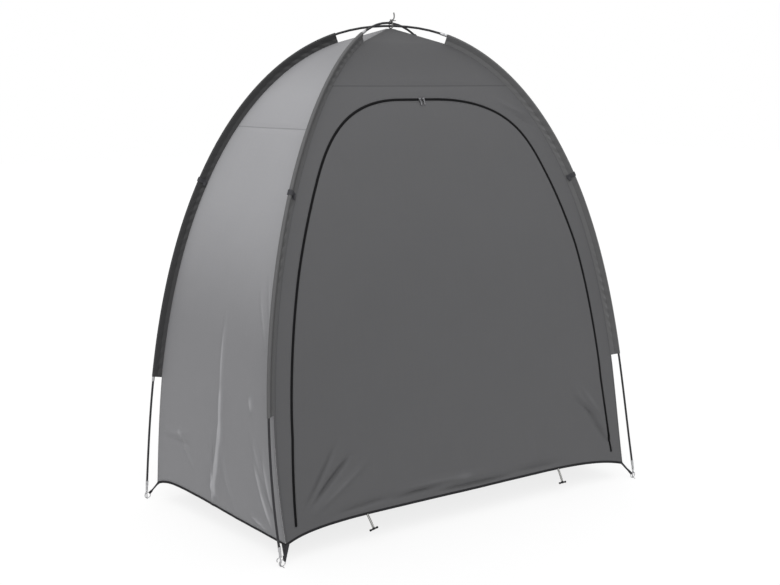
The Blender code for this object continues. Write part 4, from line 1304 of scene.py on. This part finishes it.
class TENT_OT_zip(bpy.types.Operator):
    """Lays the zip round the door, with its teeth."""

    bl_idname = "tent.zip"
    bl_label = "Door zip"

    def execute(self, context):
        settings = context.scene.tent_fittings
        material = ribbed_tape("zip_black", settings.zip, 0.0011, 0.7, 1.5)
        surface = front_surface()
        coarse = spaced(door_outline(), 0.006)
        found = [on_front(surface, x, height) for x, height in coarse]
        line = np.array([hit for hit, _ in found])
        normal = unit(np.array([normal for _, normal in found]))
        fine = spaced(np.concatenate((line, normal), 1), ZIP_HALF_TOOTH)
        line, normal = fine[:, :3], unit(fine[:, 3:])
        run = unit(np.gradient(line, axis=0))
        side = unit(np.cross(run, normal))
        up = unit(np.cross(side, run))
        coil = np.where(np.arange(len(line)) % 2, 0.0015, 0.0022)
        tape = np.tile((0.0001, 0.0006, 0.0007), (len(line), 1))
        heights = np.concatenate((tape, coil[:, None] * (0.7, 1, 0.86, 1, 0.7), tape[:, ::-1]), 1)
        section = np.stack((np.broadcast_to(ZIP_ACROSS, heights.shape), heights), -1)
        base = np.broadcast_to(((ZIP_ACROSS[-1], -0.0003), (ZIP_ACROSS[0], -0.0003)), (len(line), 2, 2))
        section = np.concatenate((section, base), 1)
        points = line[:, None] + side[:, None] * section[..., :1] + up[:, None] * section[..., 1:]
        made = sheet_grid(
            "zip_coil", points, material, tube_map(line, section.shape[1], ZIP_GIRTH),
            {"stitch_across": np.abs(np.abs(section[..., 0]) - 0.0038)},
        )
        keep(made, "zip", "door_zip")
        return {"FINISHED"}


class TENT_OT_toggles(bpy.types.Operator):
    """Hangs the two elastic cords with their bars from the front hem."""

    bl_idname = "tent.toggles"
    bl_label = "Toggles"

    def execute(self, context):
        settings = context.scene.tent_fittings
        radius, half = settings.cord_radius, settings.bar_length / 2
        cord_finish = twisted_cord("elastic_cord", settings.cord)
        bar_finish = moulded_plastic("black_nylon", settings.plastic)
        side = [
            (0, -half), (0.0020, -half), (0.0030, -half + 0.0005), (0.0036, -half + 0.0016),
            (0.0036, -half + 0.0028), (0.0030, -half + 0.0065), (0.0024, -0.0062), (0.0025, -0.0046),
            (0.0031, -0.0040), (0.0032, -0.0034),
        ]
        profile = side + [(across, -along) for across, along in side[::-1]]
        wall = WALLS["front"]
        forwards = np.array((0.0, -1.0, 0.0))
        for name, (share, lean) in TOGGLES.items():
            high, low = wall.flat(share, 3), wall.flat(share, 4)
            room = CLEARANCE + radius * abs((high[1] - low[1]) / (high[2] - low[2]))
            top = wall.flat(share, wall.hem_stage(np.array(share), HEM_BINDING / 2))
            down = np.array((math.sin(lean), 0.0, -math.cos(lean)))
            line = smooth_line([top + forwards * (out + room) + down * fall for out, fall in TOGGLE_ROUTE], 5)
            cord = cord_mesh(f"toggle_cord_{name}_twist", line, radius, cord_finish, TOGGLE_TWIST, sides=48)
            run = unit(line[-1] - line[-3])
            centre = line[-1] + run * TOGGLE_BAR_STEP
            bar = turned("bar", profile, 28, centre, np.cross(forwards, down), bar_finish)
            collar = turned("collar", TOGGLE_COLLAR, 28, centre - run * TOGGLE_COLLAR_STEP, -run, bar_finish)
            bar = joined(f"toggle_bar_{name}_moulding", bar, collar)
            keep(bar, "black_plastic", "toggle_bar_" + name)
            keep(cord, "grey_cord", "toggle_cord_" + name)
        return {"FINISHED"}


def foot_frame(corner):
    """The tip's lower end, the unit step up the pole, and the middle of the peg ring."""
    shape = LEGS[corner]
    bottom = angle_at_height(corner, shape.sleeve_bottom)
    end = angle_at_height(corner, TIP_BOTTOM + TIP_LENGTH - POLE_IN_TIP)
    pole_end = in_plan(corner, *pole_line(corner, end))
    up = unit(in_plan(corner, *pole_line(corner, end + (bottom - end) / 4)) - pole_end)
    base = pole_end - up * (TIP_LENGTH - POLE_IN_TIP)
    ring = base - (shape.side_x * RING_SHIFT, -shape.side_y * (PIN_RADIUS + RING_WIRE + CLEARANCE), 0)
    ring[2] = RING_RADIUS + RING_WIRE
    return base, up, ring


class TENT_OT_feet(bpy.types.Operator):
    """Turns the tips, pins and rings that the poles stand on."""

    bl_idname = "tent.feet"
    bl_label = "Tips, pins and rings"

    def execute(self, context):
        metal = plated_metal("plated_metal", context.scene.tent_fittings.metal)
        for corner in LEGS:
            base, up, ring = foot_frame(corner)
            tip = turned(f"pole_tip_{corner}_turned", TIP_PROFILE, 32, base, up, metal)
            keep(tip, "metal", "pole_tip_" + corner)

            foot = base * (1, 1, 0)
            outwards = np.array((LEGS[corner].side_x, LEGS[corner].side_y, 1))
            collar = base[2] - TIP_RIM * math.hypot(up[0], up[1]) - CLEARANCE
            pin = turned("pin", [
                (0, 0.0002), (0.0012, 0.0), (0.0018, 0.0006), (PIN_RADIUS, 0.0016),
                (PIN_RADIUS, collar - 0.0032), (0.0036, collar - 0.0030), (0.0045, collar - 0.0022),
                (0.0045, collar - 0.0008), (0.0038, collar), (0.0022, collar), (PIN_RADIUS, collar + 0.0004),
                (PIN_RADIUS, 0.044), (0.0014, 0.0455), (0, 0.046),
            ], 24, foot, (0, 0, 1), metal)
            inner = RING_RADIUS - RING_WIRE - HOOK_RADIUS - CLEARANCE
            high = RING_RADIUS + RING_WIRE + math.sqrt(inner**2 - RING_SHIFT**2)
            over = PIN_RADIUS + 2 * RING_WIRE + CLEARANCE + 0.0016
            hook = (
                (0, 0, high), (0, over * 0.6, high), (0.0006, over + 0.0004, high - 0.0003),
                (0.0022, over + 0.0010, high - 0.0030), (0.0036, over + 0.0006, high - 0.0062),
            )
            wires = [
                wire("hook", HOOK_RADIUS, foot + outwards * hook, 5, 0.0009, metal),
                wire("tail", 0.0011, foot + outwards * PIN_TAIL, 6, 0.0012, metal),
                wire("claw", 0.0016, foot + outwards * PIN_CLAW, 6, 0.0012, metal),
            ]
            keep(joined(f"foot_pin_{corner}_wire", pin, *wires), "metal", "foot_pin_" + corner)

            start = 90 + LEGS[corner].side_x * 60
            circle = arc(RING_RADIUS, start + 3, start + 357, 65)
            line = ring + np.stack((circle[:, 0], np.linspace(-0.0002, 0.0002, len(circle)), circle[:, 1]), 1)
            keep(rod(f"peg_ring_{corner}_wire", RING_WIRE, line, 16, metal), "metal", "peg_ring_" + corner)
        return {"FINISHED"}


class TENT_OT_ferrules(bpy.types.Operator):
    """Crimps a ferrule on each pole where it goes into its sleeve."""

    bl_idname = "tent.ferrules"
    bl_label = "Ferrules"

    def execute(self, context):
        metal = bpy.data.materials["plated_metal"]
        angles = np.linspace(0.02, math.pi / 2 - 0.02, 4000)
        bore, skin = FERRULE_BORE, FERRULE_RADIUS
        for corner, end in FERRULE_ENDS.items():
            length = FERRULE_LENGTHS[end]
            gone = gone_along(in_plan(corner, *pole_line(corner, angles)))
            edge = sleeve_angles(corner, 2)[0 if end == "top" else 1]
            sign = -1 if end == "top" else 1
            first = np.interp(edge, angles, gone) + sign * CLEARANCE
            ends = np.interp((first, first + sign * length), gone, angles)
            start, stop = in_plan(corner, *pole_line(corner, ends))
            profile = [
                (bore, 0.0003), (0.0044, 0.0), (skin, 0.0008), (skin, length * 0.26), (0.0045, length * 0.31),
                (0.0045, length * 0.36), (skin, length * 0.41), (skin, length - 0.0012),
                (0.0046, length - 0.0002), (0.0043, length), (bore, length - 0.0004), (bore, 0.0003),
            ]
            made = turned(f"ferrule_{corner}_crimped", profile, 32, start, stop - start, metal)
            keep(made, "metal", "ferrule_" + corner)
        return {"FINISHED"}


class TENT_OT_guy_loops(bpy.types.Operator):
    """Sews a loop of tape for a guy line on each sleeve."""

    bl_idname = "tent.guy_loops"
    bl_label = "Guy loops"

    def execute(self, context):
        material = ribbed_tape("loop_tape", shaded(context.scene.tent_cloth.binding, 2.6), 0.0013)
        half = np.array(GUY_LOOP_SIDE)
        path = np.concatenate((half, arc(0.0080, 90, -90, 15), half[::-1] * (1, -1)))
        path = smooth_line(spaced(path, 0.0016), 2)
        hang = smooth_line(GUY_LOOP_STUB, 3)
        for corner in LEGS:
            angle = angle_at_height(corner, GUY_LOOP_HEIGHT)
            along, fall = pole_run(corner, angle)
            centre = in_plan(corner, *pole_line(corner, angle))
            out = -(fall * outward(corner) - along * UP)
            down = along * outward(corner) + fall * UP
            side = np.cross(outward(corner), UP)
            front = side if side[1] < 0 else -side
            band = tape_loop("band", centre, out, side, down, path, 0.0072, material)
            stub = tape_loop("stub", centre - out * 0.0190, down, front, out, hang, 0.0045, material)
            made = joined(f"guy_loop_{corner}_tape", band, stub)
            keep(made, "webbing", "guy_loop_" + corner)
        return {"FINISHED"}


def tape_loop(name, centre, first, second, breadthwise, path, half, material):
    """Tape of twice half's breadth, laid along a path of (first, second) steps from a centre."""
    breadth = np.linspace(-half, half, 9)
    place = centre + first * path[:, :1] + second * path[:, 1:]
    points = place[:, None] + breadthwise * breadth[None, :, None]
    mapped = np.stack(np.meshgrid(gone_along(path), breadth, indexing="ij"), -1)
    made = sheet_grid(
        name, points, material, mapped, {"stitch_across": np.abs(np.abs(breadth) - half + 0.0016)[None]},
        outside=(0.0, 0.0, 0.0),
    )
    thicken(made, 0.0012, 0.0)
    return made


class TENT_OT_straps(bpy.types.Operator):
    """Runs a tapering strap from each lower corner of the cloth, through the peg ring and back."""

    bl_idname = "tent.straps"
    bl_label = "Corner straps"

    def execute(self, context):
        material = ribbed_tape("black_tape", shaded(context.scene.tent_cloth.binding, 1.6), 0.0013)
        for corner in LEGS:
            _, _, ring = foot_frame(corner)
            side_x = LEGS[corner].side_x
            tangent = np.array((math.cos(STRAP_ANGLE), 0, side_x * math.sin(STRAP_ANGLE)))
            top_of_ring = ring + RING_RADIUS * np.array((-tangent[2], 0, tangent[0]))
            start = seam_place(corner, HEM_CORNER + 0.004)
            length = np.linalg.norm(top_of_ring - start)
            run = (top_of_ring - start) / length
            flat = unit(np.cross(tangent, run))
            flat = flat * np.sign(flat @ outward(corner))
            reach = []
            for name, end in STRAP_WALLS[corner]:
                wall = WALLS[name]
                share = np.array(abs(end - STRAP_REACH[name] / wall.width(3.9)))
                reach.append(wall.flat(share, wall.hem_stage(share, HEM_BINDING * 0.7)) - start)
            if (reach[1] - reach[0]) @ tangent < 0:
                tangent = -tangent
            turn = RING_WIRE + CLEARANCE + STRAP_CLOTH / 2
            lie = np.linspace(-0.003, length, 26)
            eased = np.clip((lie - length + STRAP_EASE) / STRAP_EASE, 0, 1) ** 2
            lift = STRAP_LIFT + (turn - STRAP_LIFT) * eased
            wrap = arc(turn, 90, -90, 15)[1:-1] + (length, 0)
            back = np.linspace(length, length - STRAP_RETURN, 12)
            closing = np.clip((length - back) / STRAP_RETURN, 0, 1) ** 1.5
            under = -turn + (turn - STRAP_CLOTH * 1.15) * closing
            path = np.concatenate((np.stack((lie, lift), 1), wrap, np.stack((back, under), 1)))
            share = np.clip(path[:, 0] / length, -0.1, 1)[:, None, None]
            columns = np.linspace(-1, 1, 9)
            spread = np.abs(columns)[:, None] * np.where(columns[:, None] < 0, reach[0], reach[1])
            half = spread * (1 - share) + tangent * STRAP_HALF_AT_RING * columns[:, None] * share
            middle = start + run * path[:, :1] + flat * path[:, 1:]
            points = middle[:, None] + half
            breadth = np.linalg.norm(half, axis=2) * np.sign(columns)
            mapped = np.stack(np.broadcast_arrays(gone_along(path)[:, None], breadth), -1)
            from_edge = np.abs(breadth[:, -1:]) - np.abs(breadth)
            made = sheet_grid(
                f"corner_strap_{corner}_webbing", points, material, mapped,
                {"stitch_across": np.abs(from_edge - 0.0018)}, outside=(0.0, 0.0, 0.0),
            )
            thicken(made, STRAP_CLOTH, 0.0)
            keep(made, "webbing", "corner_strap_" + corner)
        return {"FINISHED"}


class TENT_OT_sliders(bpy.types.Operator):
    """Models one zip slider with its puller, and copies it to both places on the zip."""

    bl_idname = "tent.sliders"
    bl_label = "Zip sliders"

    def execute(self, context):
        metal = plated_metal("slider_metal", context.scene.tent_fittings.slider, 0.42)
        surface = front_surface()
        model = slider_model(metal)
        for side, name in ((-1, "left"), (1, "right")):
            x = SLIDERS_MIDDLE + PEAK_PLAN[0] + side * SLIDER_SPACING / 2
            middle, _ = on_front(surface, x, ZIP_TOP)
            lower, _ = on_front(surface, x, ZIP_TOP - 0.024)
            down = Vector(unit(lower - middle))
            out = down.cross(Vector((1, 0, 0))).normalized()
            out = -out if out.y > 0 else out
            turn = Matrix((Vector((1, 0, 0)), -out, -down)).transposed().to_4x4()
            mirror = Matrix.Diagonal((-side, 1, 1, 1))
            made = model.copy()
            made.data = model.data.copy()
            made.name = f"zip_slider_{name}_cast"
            bpy.context.scene.collection.objects.link(made)
            settle(made, Matrix.Translation(Vector(middle) + out * 0.0012) @ turn @ mirror)
            bpy.ops.object.mode_set(mode="EDIT")
            bpy.ops.mesh.select_all(action="SELECT")
            bpy.ops.mesh.normals_make_consistent(inside=False)
            bpy.ops.object.mode_set(mode="OBJECT")
            keep(made, "metal", "zip_slider_" + name)
        bpy.data.objects.remove(model)
        return {"FINISHED"}


def bevelled_block(name, size, place, material, bevel, narrow=1.0):
    """A block with a narrower end, rounded edges and a sunk panel on the side that faces -Y."""
    bpy.ops.object.select_all(action="DESELECT")
    bpy.ops.mesh.primitive_cube_add(size=1)
    made = bpy.context.object
    made.name = name
    settle(made, Matrix.Translation(Vector(place)) @ Matrix.Diagonal((*size, 1)))
    bpy.ops.object.mode_set(mode="EDIT")
    bpy.ops.mesh.select_mode(type="FACE")
    choose(made, "faces", lambda face: face.normal.x > 0.9)
    bpy.ops.transform.resize(value=(1, 0.8 if narrow < 1 else 1, narrow))
    choose(made, "faces", lambda face: face.normal.y < -0.9)
    bpy.ops.mesh.inset(thickness=bevel * 1.6, depth=-bevel * 0.5)
    bpy.ops.mesh.select_mode(type="EDGE")
    bpy.ops.mesh.select_all(action="SELECT")
    bpy.ops.mesh.bevel(offset=bevel * 0.45, segments=2, profile=0.6)
    bpy.ops.object.mode_set(mode="OBJECT")
    bpy.ops.object.shade_smooth_by_angle(angle=SHARP_ANGLE)
    made.data.materials.append(material)
    return made


def choose(obj, kind, wanted):
    """Selects the wanted faces or edges of a mesh in edit mode, and no others."""
    mesh = bmesh.from_edit_mesh(obj.data)
    for part in getattr(mesh, kind):
        part.select_set(False)
    for part in getattr(mesh, kind):
        if wanted(part):
            part.select_set(True)
    bmesh.update_edit_mesh(obj.data)


def reach_along(edge):
    """How far an edge goes along X."""
    return abs(edge.verts[0].co.x - edge.verts[1].co.x)


def slider_model(metal):
    """One slider about the zip's middle line: X along the zip, -Y off the cloth, Z up."""
    body = bevelled_block("body", (0.0100, 0.0030, 0.0118), (0, -0.0018, 0), metal, 0.0010, 0.72)
    crown = wire("crown", 0.0010, (
        (-0.0036, -0.0028, 0), (-0.0034, -0.0042, 0), (-0.0014, -0.0052, 0), (0.0014, -0.0052, 0),
        (0.0034, -0.0042, 0), (0.0036, -0.0028, 0),
    ), 4, 0.0008, metal)
    puller = bevelled_block("puller", (0.0044, 0.0014, 0.0150), (0, -0.0039, -0.0125), metal, 0.0008)
    eye = wire("eye", 0.0008, (
        (-0.0016, -0.0039, -0.0056), (-0.0022, -0.0041, -0.0030), (-0.0014, -0.0042, 0.0004),
        (0, -0.0042, 0.0014), (0.0014, -0.0042, 0.0004), (0.0022, -0.0041, -0.0030),
        (0.0016, -0.0039, -0.0056),
    ), 4, 0.0008, metal)
    return joined("slider_model", body, crown, puller, eye)


class TENT_OT_tie(bpy.types.Operator):
    """Ties the peak up to the crossing with cord, and leaves its two ends loose."""

    bl_idname = "tent.tie"
    bl_label = "Tie at the crossing"

    def execute(self, context):
        material = twisted_cord("tie_cord", context.scene.tent_fittings.tie)
        crossing = PEAK_PLAN + np.array((0, 0, TIP_BOTTOM + POLE_RISE))
        slope = PLAN_WIDTH / PLAN_LENGTH
        half_width = POLE_RADIUS * math.hypot(1, slope) + (TIE_ASIDE + TIE_RADIUS) * slope + TIE_RADIUS
        half_height = 2 * POLE_RADIUS + TIE_RADIUS + 0.0006
        angles = np.linspace(0, 2 * math.pi, 41)
        full = np.maximum(np.abs(np.sin(angles)), np.abs(np.cos(angles))) ** 0.72
        turn = crossing + np.stack((
            TIE_ASIDE + 0.0012 * np.sin(angles), half_width * np.sin(angles) / full,
            half_height * np.cos(angles) / full,
        ), 1)
        knot = crossing + np.array(TIE_KNOT)
        t = np.linspace(0, 2 * math.pi, 90)
        wraps = knot + np.stack((
            0.0021 * (np.sin(t) + 1.5 * np.sin(2 * t)), 0.0016 * np.sin(3 * t),
            0.0019 * (np.cos(t) - 1.5 * np.cos(2 * t)),
        ), 1)
        short_end = smooth_line([knot, *(crossing + np.array(TIE_SHORT_END))], 8)
        parts = [
            cord_mesh(name, line, TIE_RADIUS, material, TIE_PITCH, sides=20, strands=2, taper=taper)
            for name, line, taper in (("turn", turn, 0.0), ("knot", wraps, 0.0), ("short_end", short_end, 0.25))
        ]
        keep(joined("apex_tie_knotted", *parts), "grey_cord", "apex_tie")
        long_end = smooth_line([knot, *(crossing + np.array(TIE_LONG_END))], 10)
        end = cord_mesh("apex_tie_end", long_end, TIE_END_RADIUS, material, TIE_END_PITCH, sides=20, strands=2)
        keep(end, "grey_cord")
        ribbon = ribbed_tape("tie_ribbon", shaded(context.scene.tent_fittings.tie, 2.2), 0.0012)
        drop, breadth = np.linspace(0, 1, 14), np.linspace(-1, 1, 9)
        middle = crossing + (0.006, 0, -0.0128) + np.stack((-0.0025 * drop, 0 * drop, -0.0120 * drop), 1)
        half = 0.0048 + 0.0010 * drop
        swell = 0.0006 * np.sin(math.pi * drop)[:, None] * np.cos(math.pi * breadth)[None]
        points = middle[:, None] + np.stack((swell, half[:, None] * breadth[None], np.zeros_like(swell)), -1)
        mapped = np.stack(np.meshgrid(drop * 0.012, breadth * 0.005, indexing="ij"), -1)
        tape = sheet_grid(
            "apex_tie_tape", points, ribbon, mapped,
            {"stitch_across": np.abs(np.abs(breadth)[None] * 0.005 - 0.004)}, outside=(1.0, 0.0, 0.0),
        )
        thicken(tape, 0.0012, 0.0)
        keep(tape, "grey_cord")
        return {"FINISHED"}


class TENT_OT_poles(bpy.types.Operator):
    """Bends the two poles over the tent."""

    bl_idname = "tent.poles"
    bl_label = "Poles"

    def execute(self, context):
        material = pole_finish("fibreglass", context.scene.tent_fittings.pole)
        for pair in (UPPER_POLE, LOWER_POLE):
            halves = []
            for corner in pair:
                end = angle_at_height(corner, TIP_BOTTOM + TIP_LENGTH - POLE_IN_TIP)
                halves.append(in_plan(corner, *pole_line(corner, np.linspace(0, end, 700))))
            line = spaced(np.concatenate((halves[0][::-1], halves[1][1:])), 0.012)
            made = rod(pole_name(pair), context.scene.tent_fittings.pole_radius, line, 20, material)
            keep(made, "pole", "pole_" + "_to_".join(pair))
        return {"FINISHED"}


def pole_name(pair):
    return f"pole_{'_'.join(pair)}_rod"


def wire(name, radius, points, per_span, step, material):
    """A wire bent along a smooth curve through points."""
    return rod(name, radius, spaced(smooth_line(points, per_span), step), 12, material)


def rod(name, radius, line, sides, material):
    """A straight rod with rounded ends, cut into short lengths and bent along a line."""
    length = gone_along(line)[-1]
    bpy.ops.object.select_all(action="DESELECT")
    bpy.ops.mesh.primitive_cylinder_add(
        vertices=sides, radius=radius, depth=length, location=(length / 2, 0, 0), rotation=(0, math.pi / 2, 0),
    )
    made = bpy.context.object
    made.name = name
    bpy.ops.object.transform_apply(location=True, rotation=True, scale=True)
    bpy.ops.object.mode_set(mode="EDIT")
    bpy.ops.mesh.select_mode(type="EDGE")
    choose(made, "edges", lambda edge: reach_along(edge) < 1e-6)
    bpy.ops.mesh.bevel(offset=radius * 0.35, segments=2, profile=0.5)
    choose(made, "edges", lambda edge: reach_along(edge) > length / 2)
    bpy.ops.mesh.subdivide(number_cuts=max(1, len(line) - 2))
    bpy.ops.object.mode_set(mode="OBJECT")
    rest = np.empty(len(made.data.vertices) * 3, np.float32)
    made.data.vertices.foreach_get("co", rest)
    rest = rest.reshape(-1, 3)
    round_map(made, rest, radius)
    path = bpy.data.curves.new(name + "_line", "CURVE")
    path.dimensions = "3D"
    spline = path.splines.new("POLY")
    spline.points.add(len(line) - 1)
    for point, place in zip(spline.points, line):
        point.co = (*place, 1)
    carrier = bpy.data.objects.new(name + "_line", path)
    bpy.context.scene.collection.objects.link(carrier)
    bend = made.modifiers.new("Bend", "CURVE")
    bend.object, bend.deform_axis = carrier, "POS_X"
    apply_modifiers(made)
    bpy.data.objects.remove(carrier)
    bpy.ops.object.shade_smooth_by_angle(angle=SHARP_ANGLE)
    made.data.materials.append(material)
    return made


def round_map(obj, rest, radius):
    """A map in metres for a straight rod along X: how far along, and how far round."""
    mesh = obj.data
    for layer in list(mesh.uv_layers):
        mesh.uv_layers.remove(layer)
    corners = np.empty(len(mesh.loops), np.int32)
    mesh.loops.foreach_get("vertex_index", corners)
    turn = np.arctan2(rest[:, 2], rest[:, 1])[corners]
    for face in mesh.polygons:
        part = slice(face.loop_start, face.loop_start + face.loop_total)
        if np.ptp(turn[part]) > math.pi:
            turn[part] = np.where(turn[part] < 0, turn[part] + 2 * math.pi, turn[part])
    lay_map(obj, np.stack((rest[corners, 0], turn * radius), 1))


class TENT_OT_sleeves(bpy.types.Operator):
    """Sews the four sleeves that hold the poles out from the corner seams."""

    bl_idname = "tent.sleeves"
    bl_label = "Sleeves"

    def execute(self, context):
        settings = context.scene.tent_cloth
        # Painted shade: both sleeve cloths are darkened a little low down.
        front = woven_cloth("sleeve_cloth", settings.sleeve, settings)
        back = woven_cloth("back_sleeve_cloth", settings.back_sleeve, settings)
        round_it = np.radians(np.linspace(78, 282, 13))
        pole_in, pole_out = SLEEVE_INNER * np.cos(round_it), SLEEVE_INNER * np.sin(round_it)
        slope = np.array((0.75, 0.35))
        taper_in = pole_in[0] + (SLEEVE_TAPER_END - pole_in[0]) * slope
        taper_out = SLEEVE_LAYER + (pole_out[0] - SLEEVE_LAYER) * (1 - slope)
        shares = np.array((1.0, 0.86, 0.72, 0.58, 0.44, 0.30, 0.15))
        layer = np.full(len(shares), SLEEVE_LAYER)
        bend_in = np.concatenate((taper_in, pole_in, taper_in[::-1]))
        still_out = np.concatenate((layer, taper_out, pole_out, -taper_out[::-1], -layer))
        for order, corner in enumerate(LEGS):
            angles = sleeve_angles(corner, 420)
            reach, height = pole_line(corner, angles)
            along, fall = pole_run(corner, angles)
            line = in_plan(corner, reach, height)
            gone = gone_along(line)[:, None]
            inwards = fall[:, None] * outward(corner) - along[:, None] * UP
            width = fin_width(height)[:, None] + 0.0016
            flat_in = SLEEVE_TAPER_END + (width - SLEEVE_TAPER_END) * shares
            across_in = np.concatenate((flat_in, np.tile(bend_in, (len(line), 1)), flat_in[:, ::-1]), 1)
            phase = 1.7 * order
            lean = gone / 0.036 + across_in / 0.030 + 0.9 * np.sin(gone * 5.1 + phase)
            swell = 0.55 + 0.45 * np.sin(gone * 9.3 + 2 * phase)
            held = np.clip((across_in - 0.006) / (width - 0.006), 0, 1)
            ripple = SLEEVE_RIPPLE * np.sin(lean * 2 * math.pi) * swell * np.sin(math.pi * held**0.8)
            across_out = still_out + ripple
            side = np.cross(outward(corner), UP)
            points = line[:, None] + inwards[:, None] * across_in[..., None] + side * across_out[..., None]
            breadth = gone_along(np.stack((across_in[0], across_out[0]), 1))
            # The fold note drives the painted highlight on ripple crests and painted shade in their troughs.
            notes = {
                "stitch_across": np.abs(across_in - 0.0075), "stitch_along": gone,
                "fold": ripple / SLEEVE_RIPPLE,
            }
            made = sheet_grid(
                f"sleeve_{corner}_cloth", points, back if corner.startswith("back") else front,
                np.stack(np.broadcast_arrays(breadth[None], -gone), -1), notes, outside=outward(corner),
            )
            thicken(made, settings.sleeve_thickness, 1.0)
            keep(made, "sleeve_fabric", "sleeve_" + corner)
        return {"FINISHED"}


OPERATORS = (
    TENT_OT_stage, TENT_OT_toggles, TENT_OT_poles, TENT_OT_sleeves, TENT_OT_hems, TENT_OT_front,
    TENT_OT_walls, TENT_OT_zip, TENT_OT_sliders, TENT_OT_guy_loops, TENT_OT_straps, TENT_OT_feet,
    TENT_OT_ferrules, TENT_OT_tie,
)


class TENT_PT_sidebar(bpy.types.Panel):
    """The tent's settings, and its pieces in the order they are made."""

    bl_idname = "TENT_PT_sidebar"
    bl_label = "Bike storage tent"
    bl_space_type = "VIEW_3D"
    bl_region_type = "UI"
    bl_category = "Tent"

    def draw(self, context):
        layout = self.layout
        for group in ("tent_cloth", "tent_fittings", "tent_stage"):
            settings = getattr(context.scene, group)
            box = layout.box()
            for name in settings.__annotations__:
                box.prop(settings, name)
        for operator in OPERATORS:
            layout.operator(operator.bl_idname)


GROUPS = {"tent_cloth": TentCloth, "tent_fittings": TentFittings, "tent_stage": TentStage}
CLASSES = (*GROUPS.values(), *OPERATORS, TENT_PT_sidebar)


def register():
    for made in CLASSES:
        bpy.utils.register_class(made)
    for name, group in GROUPS.items():
        setattr(bpy.types.Scene, name, PointerProperty(type=group))


def unregister():
    for name in GROUPS:
        delattr(bpy.types.Scene, name)
    for made in reversed(CLASSES):
        bpy.utils.unregister_class(made)


def main():
    register()
    for operator in OPERATORS:
        family, name = operator.bl_idname.split(".")
        getattr(getattr(bpy.ops, family), name)()


if __name__ == "__main__":
    main()
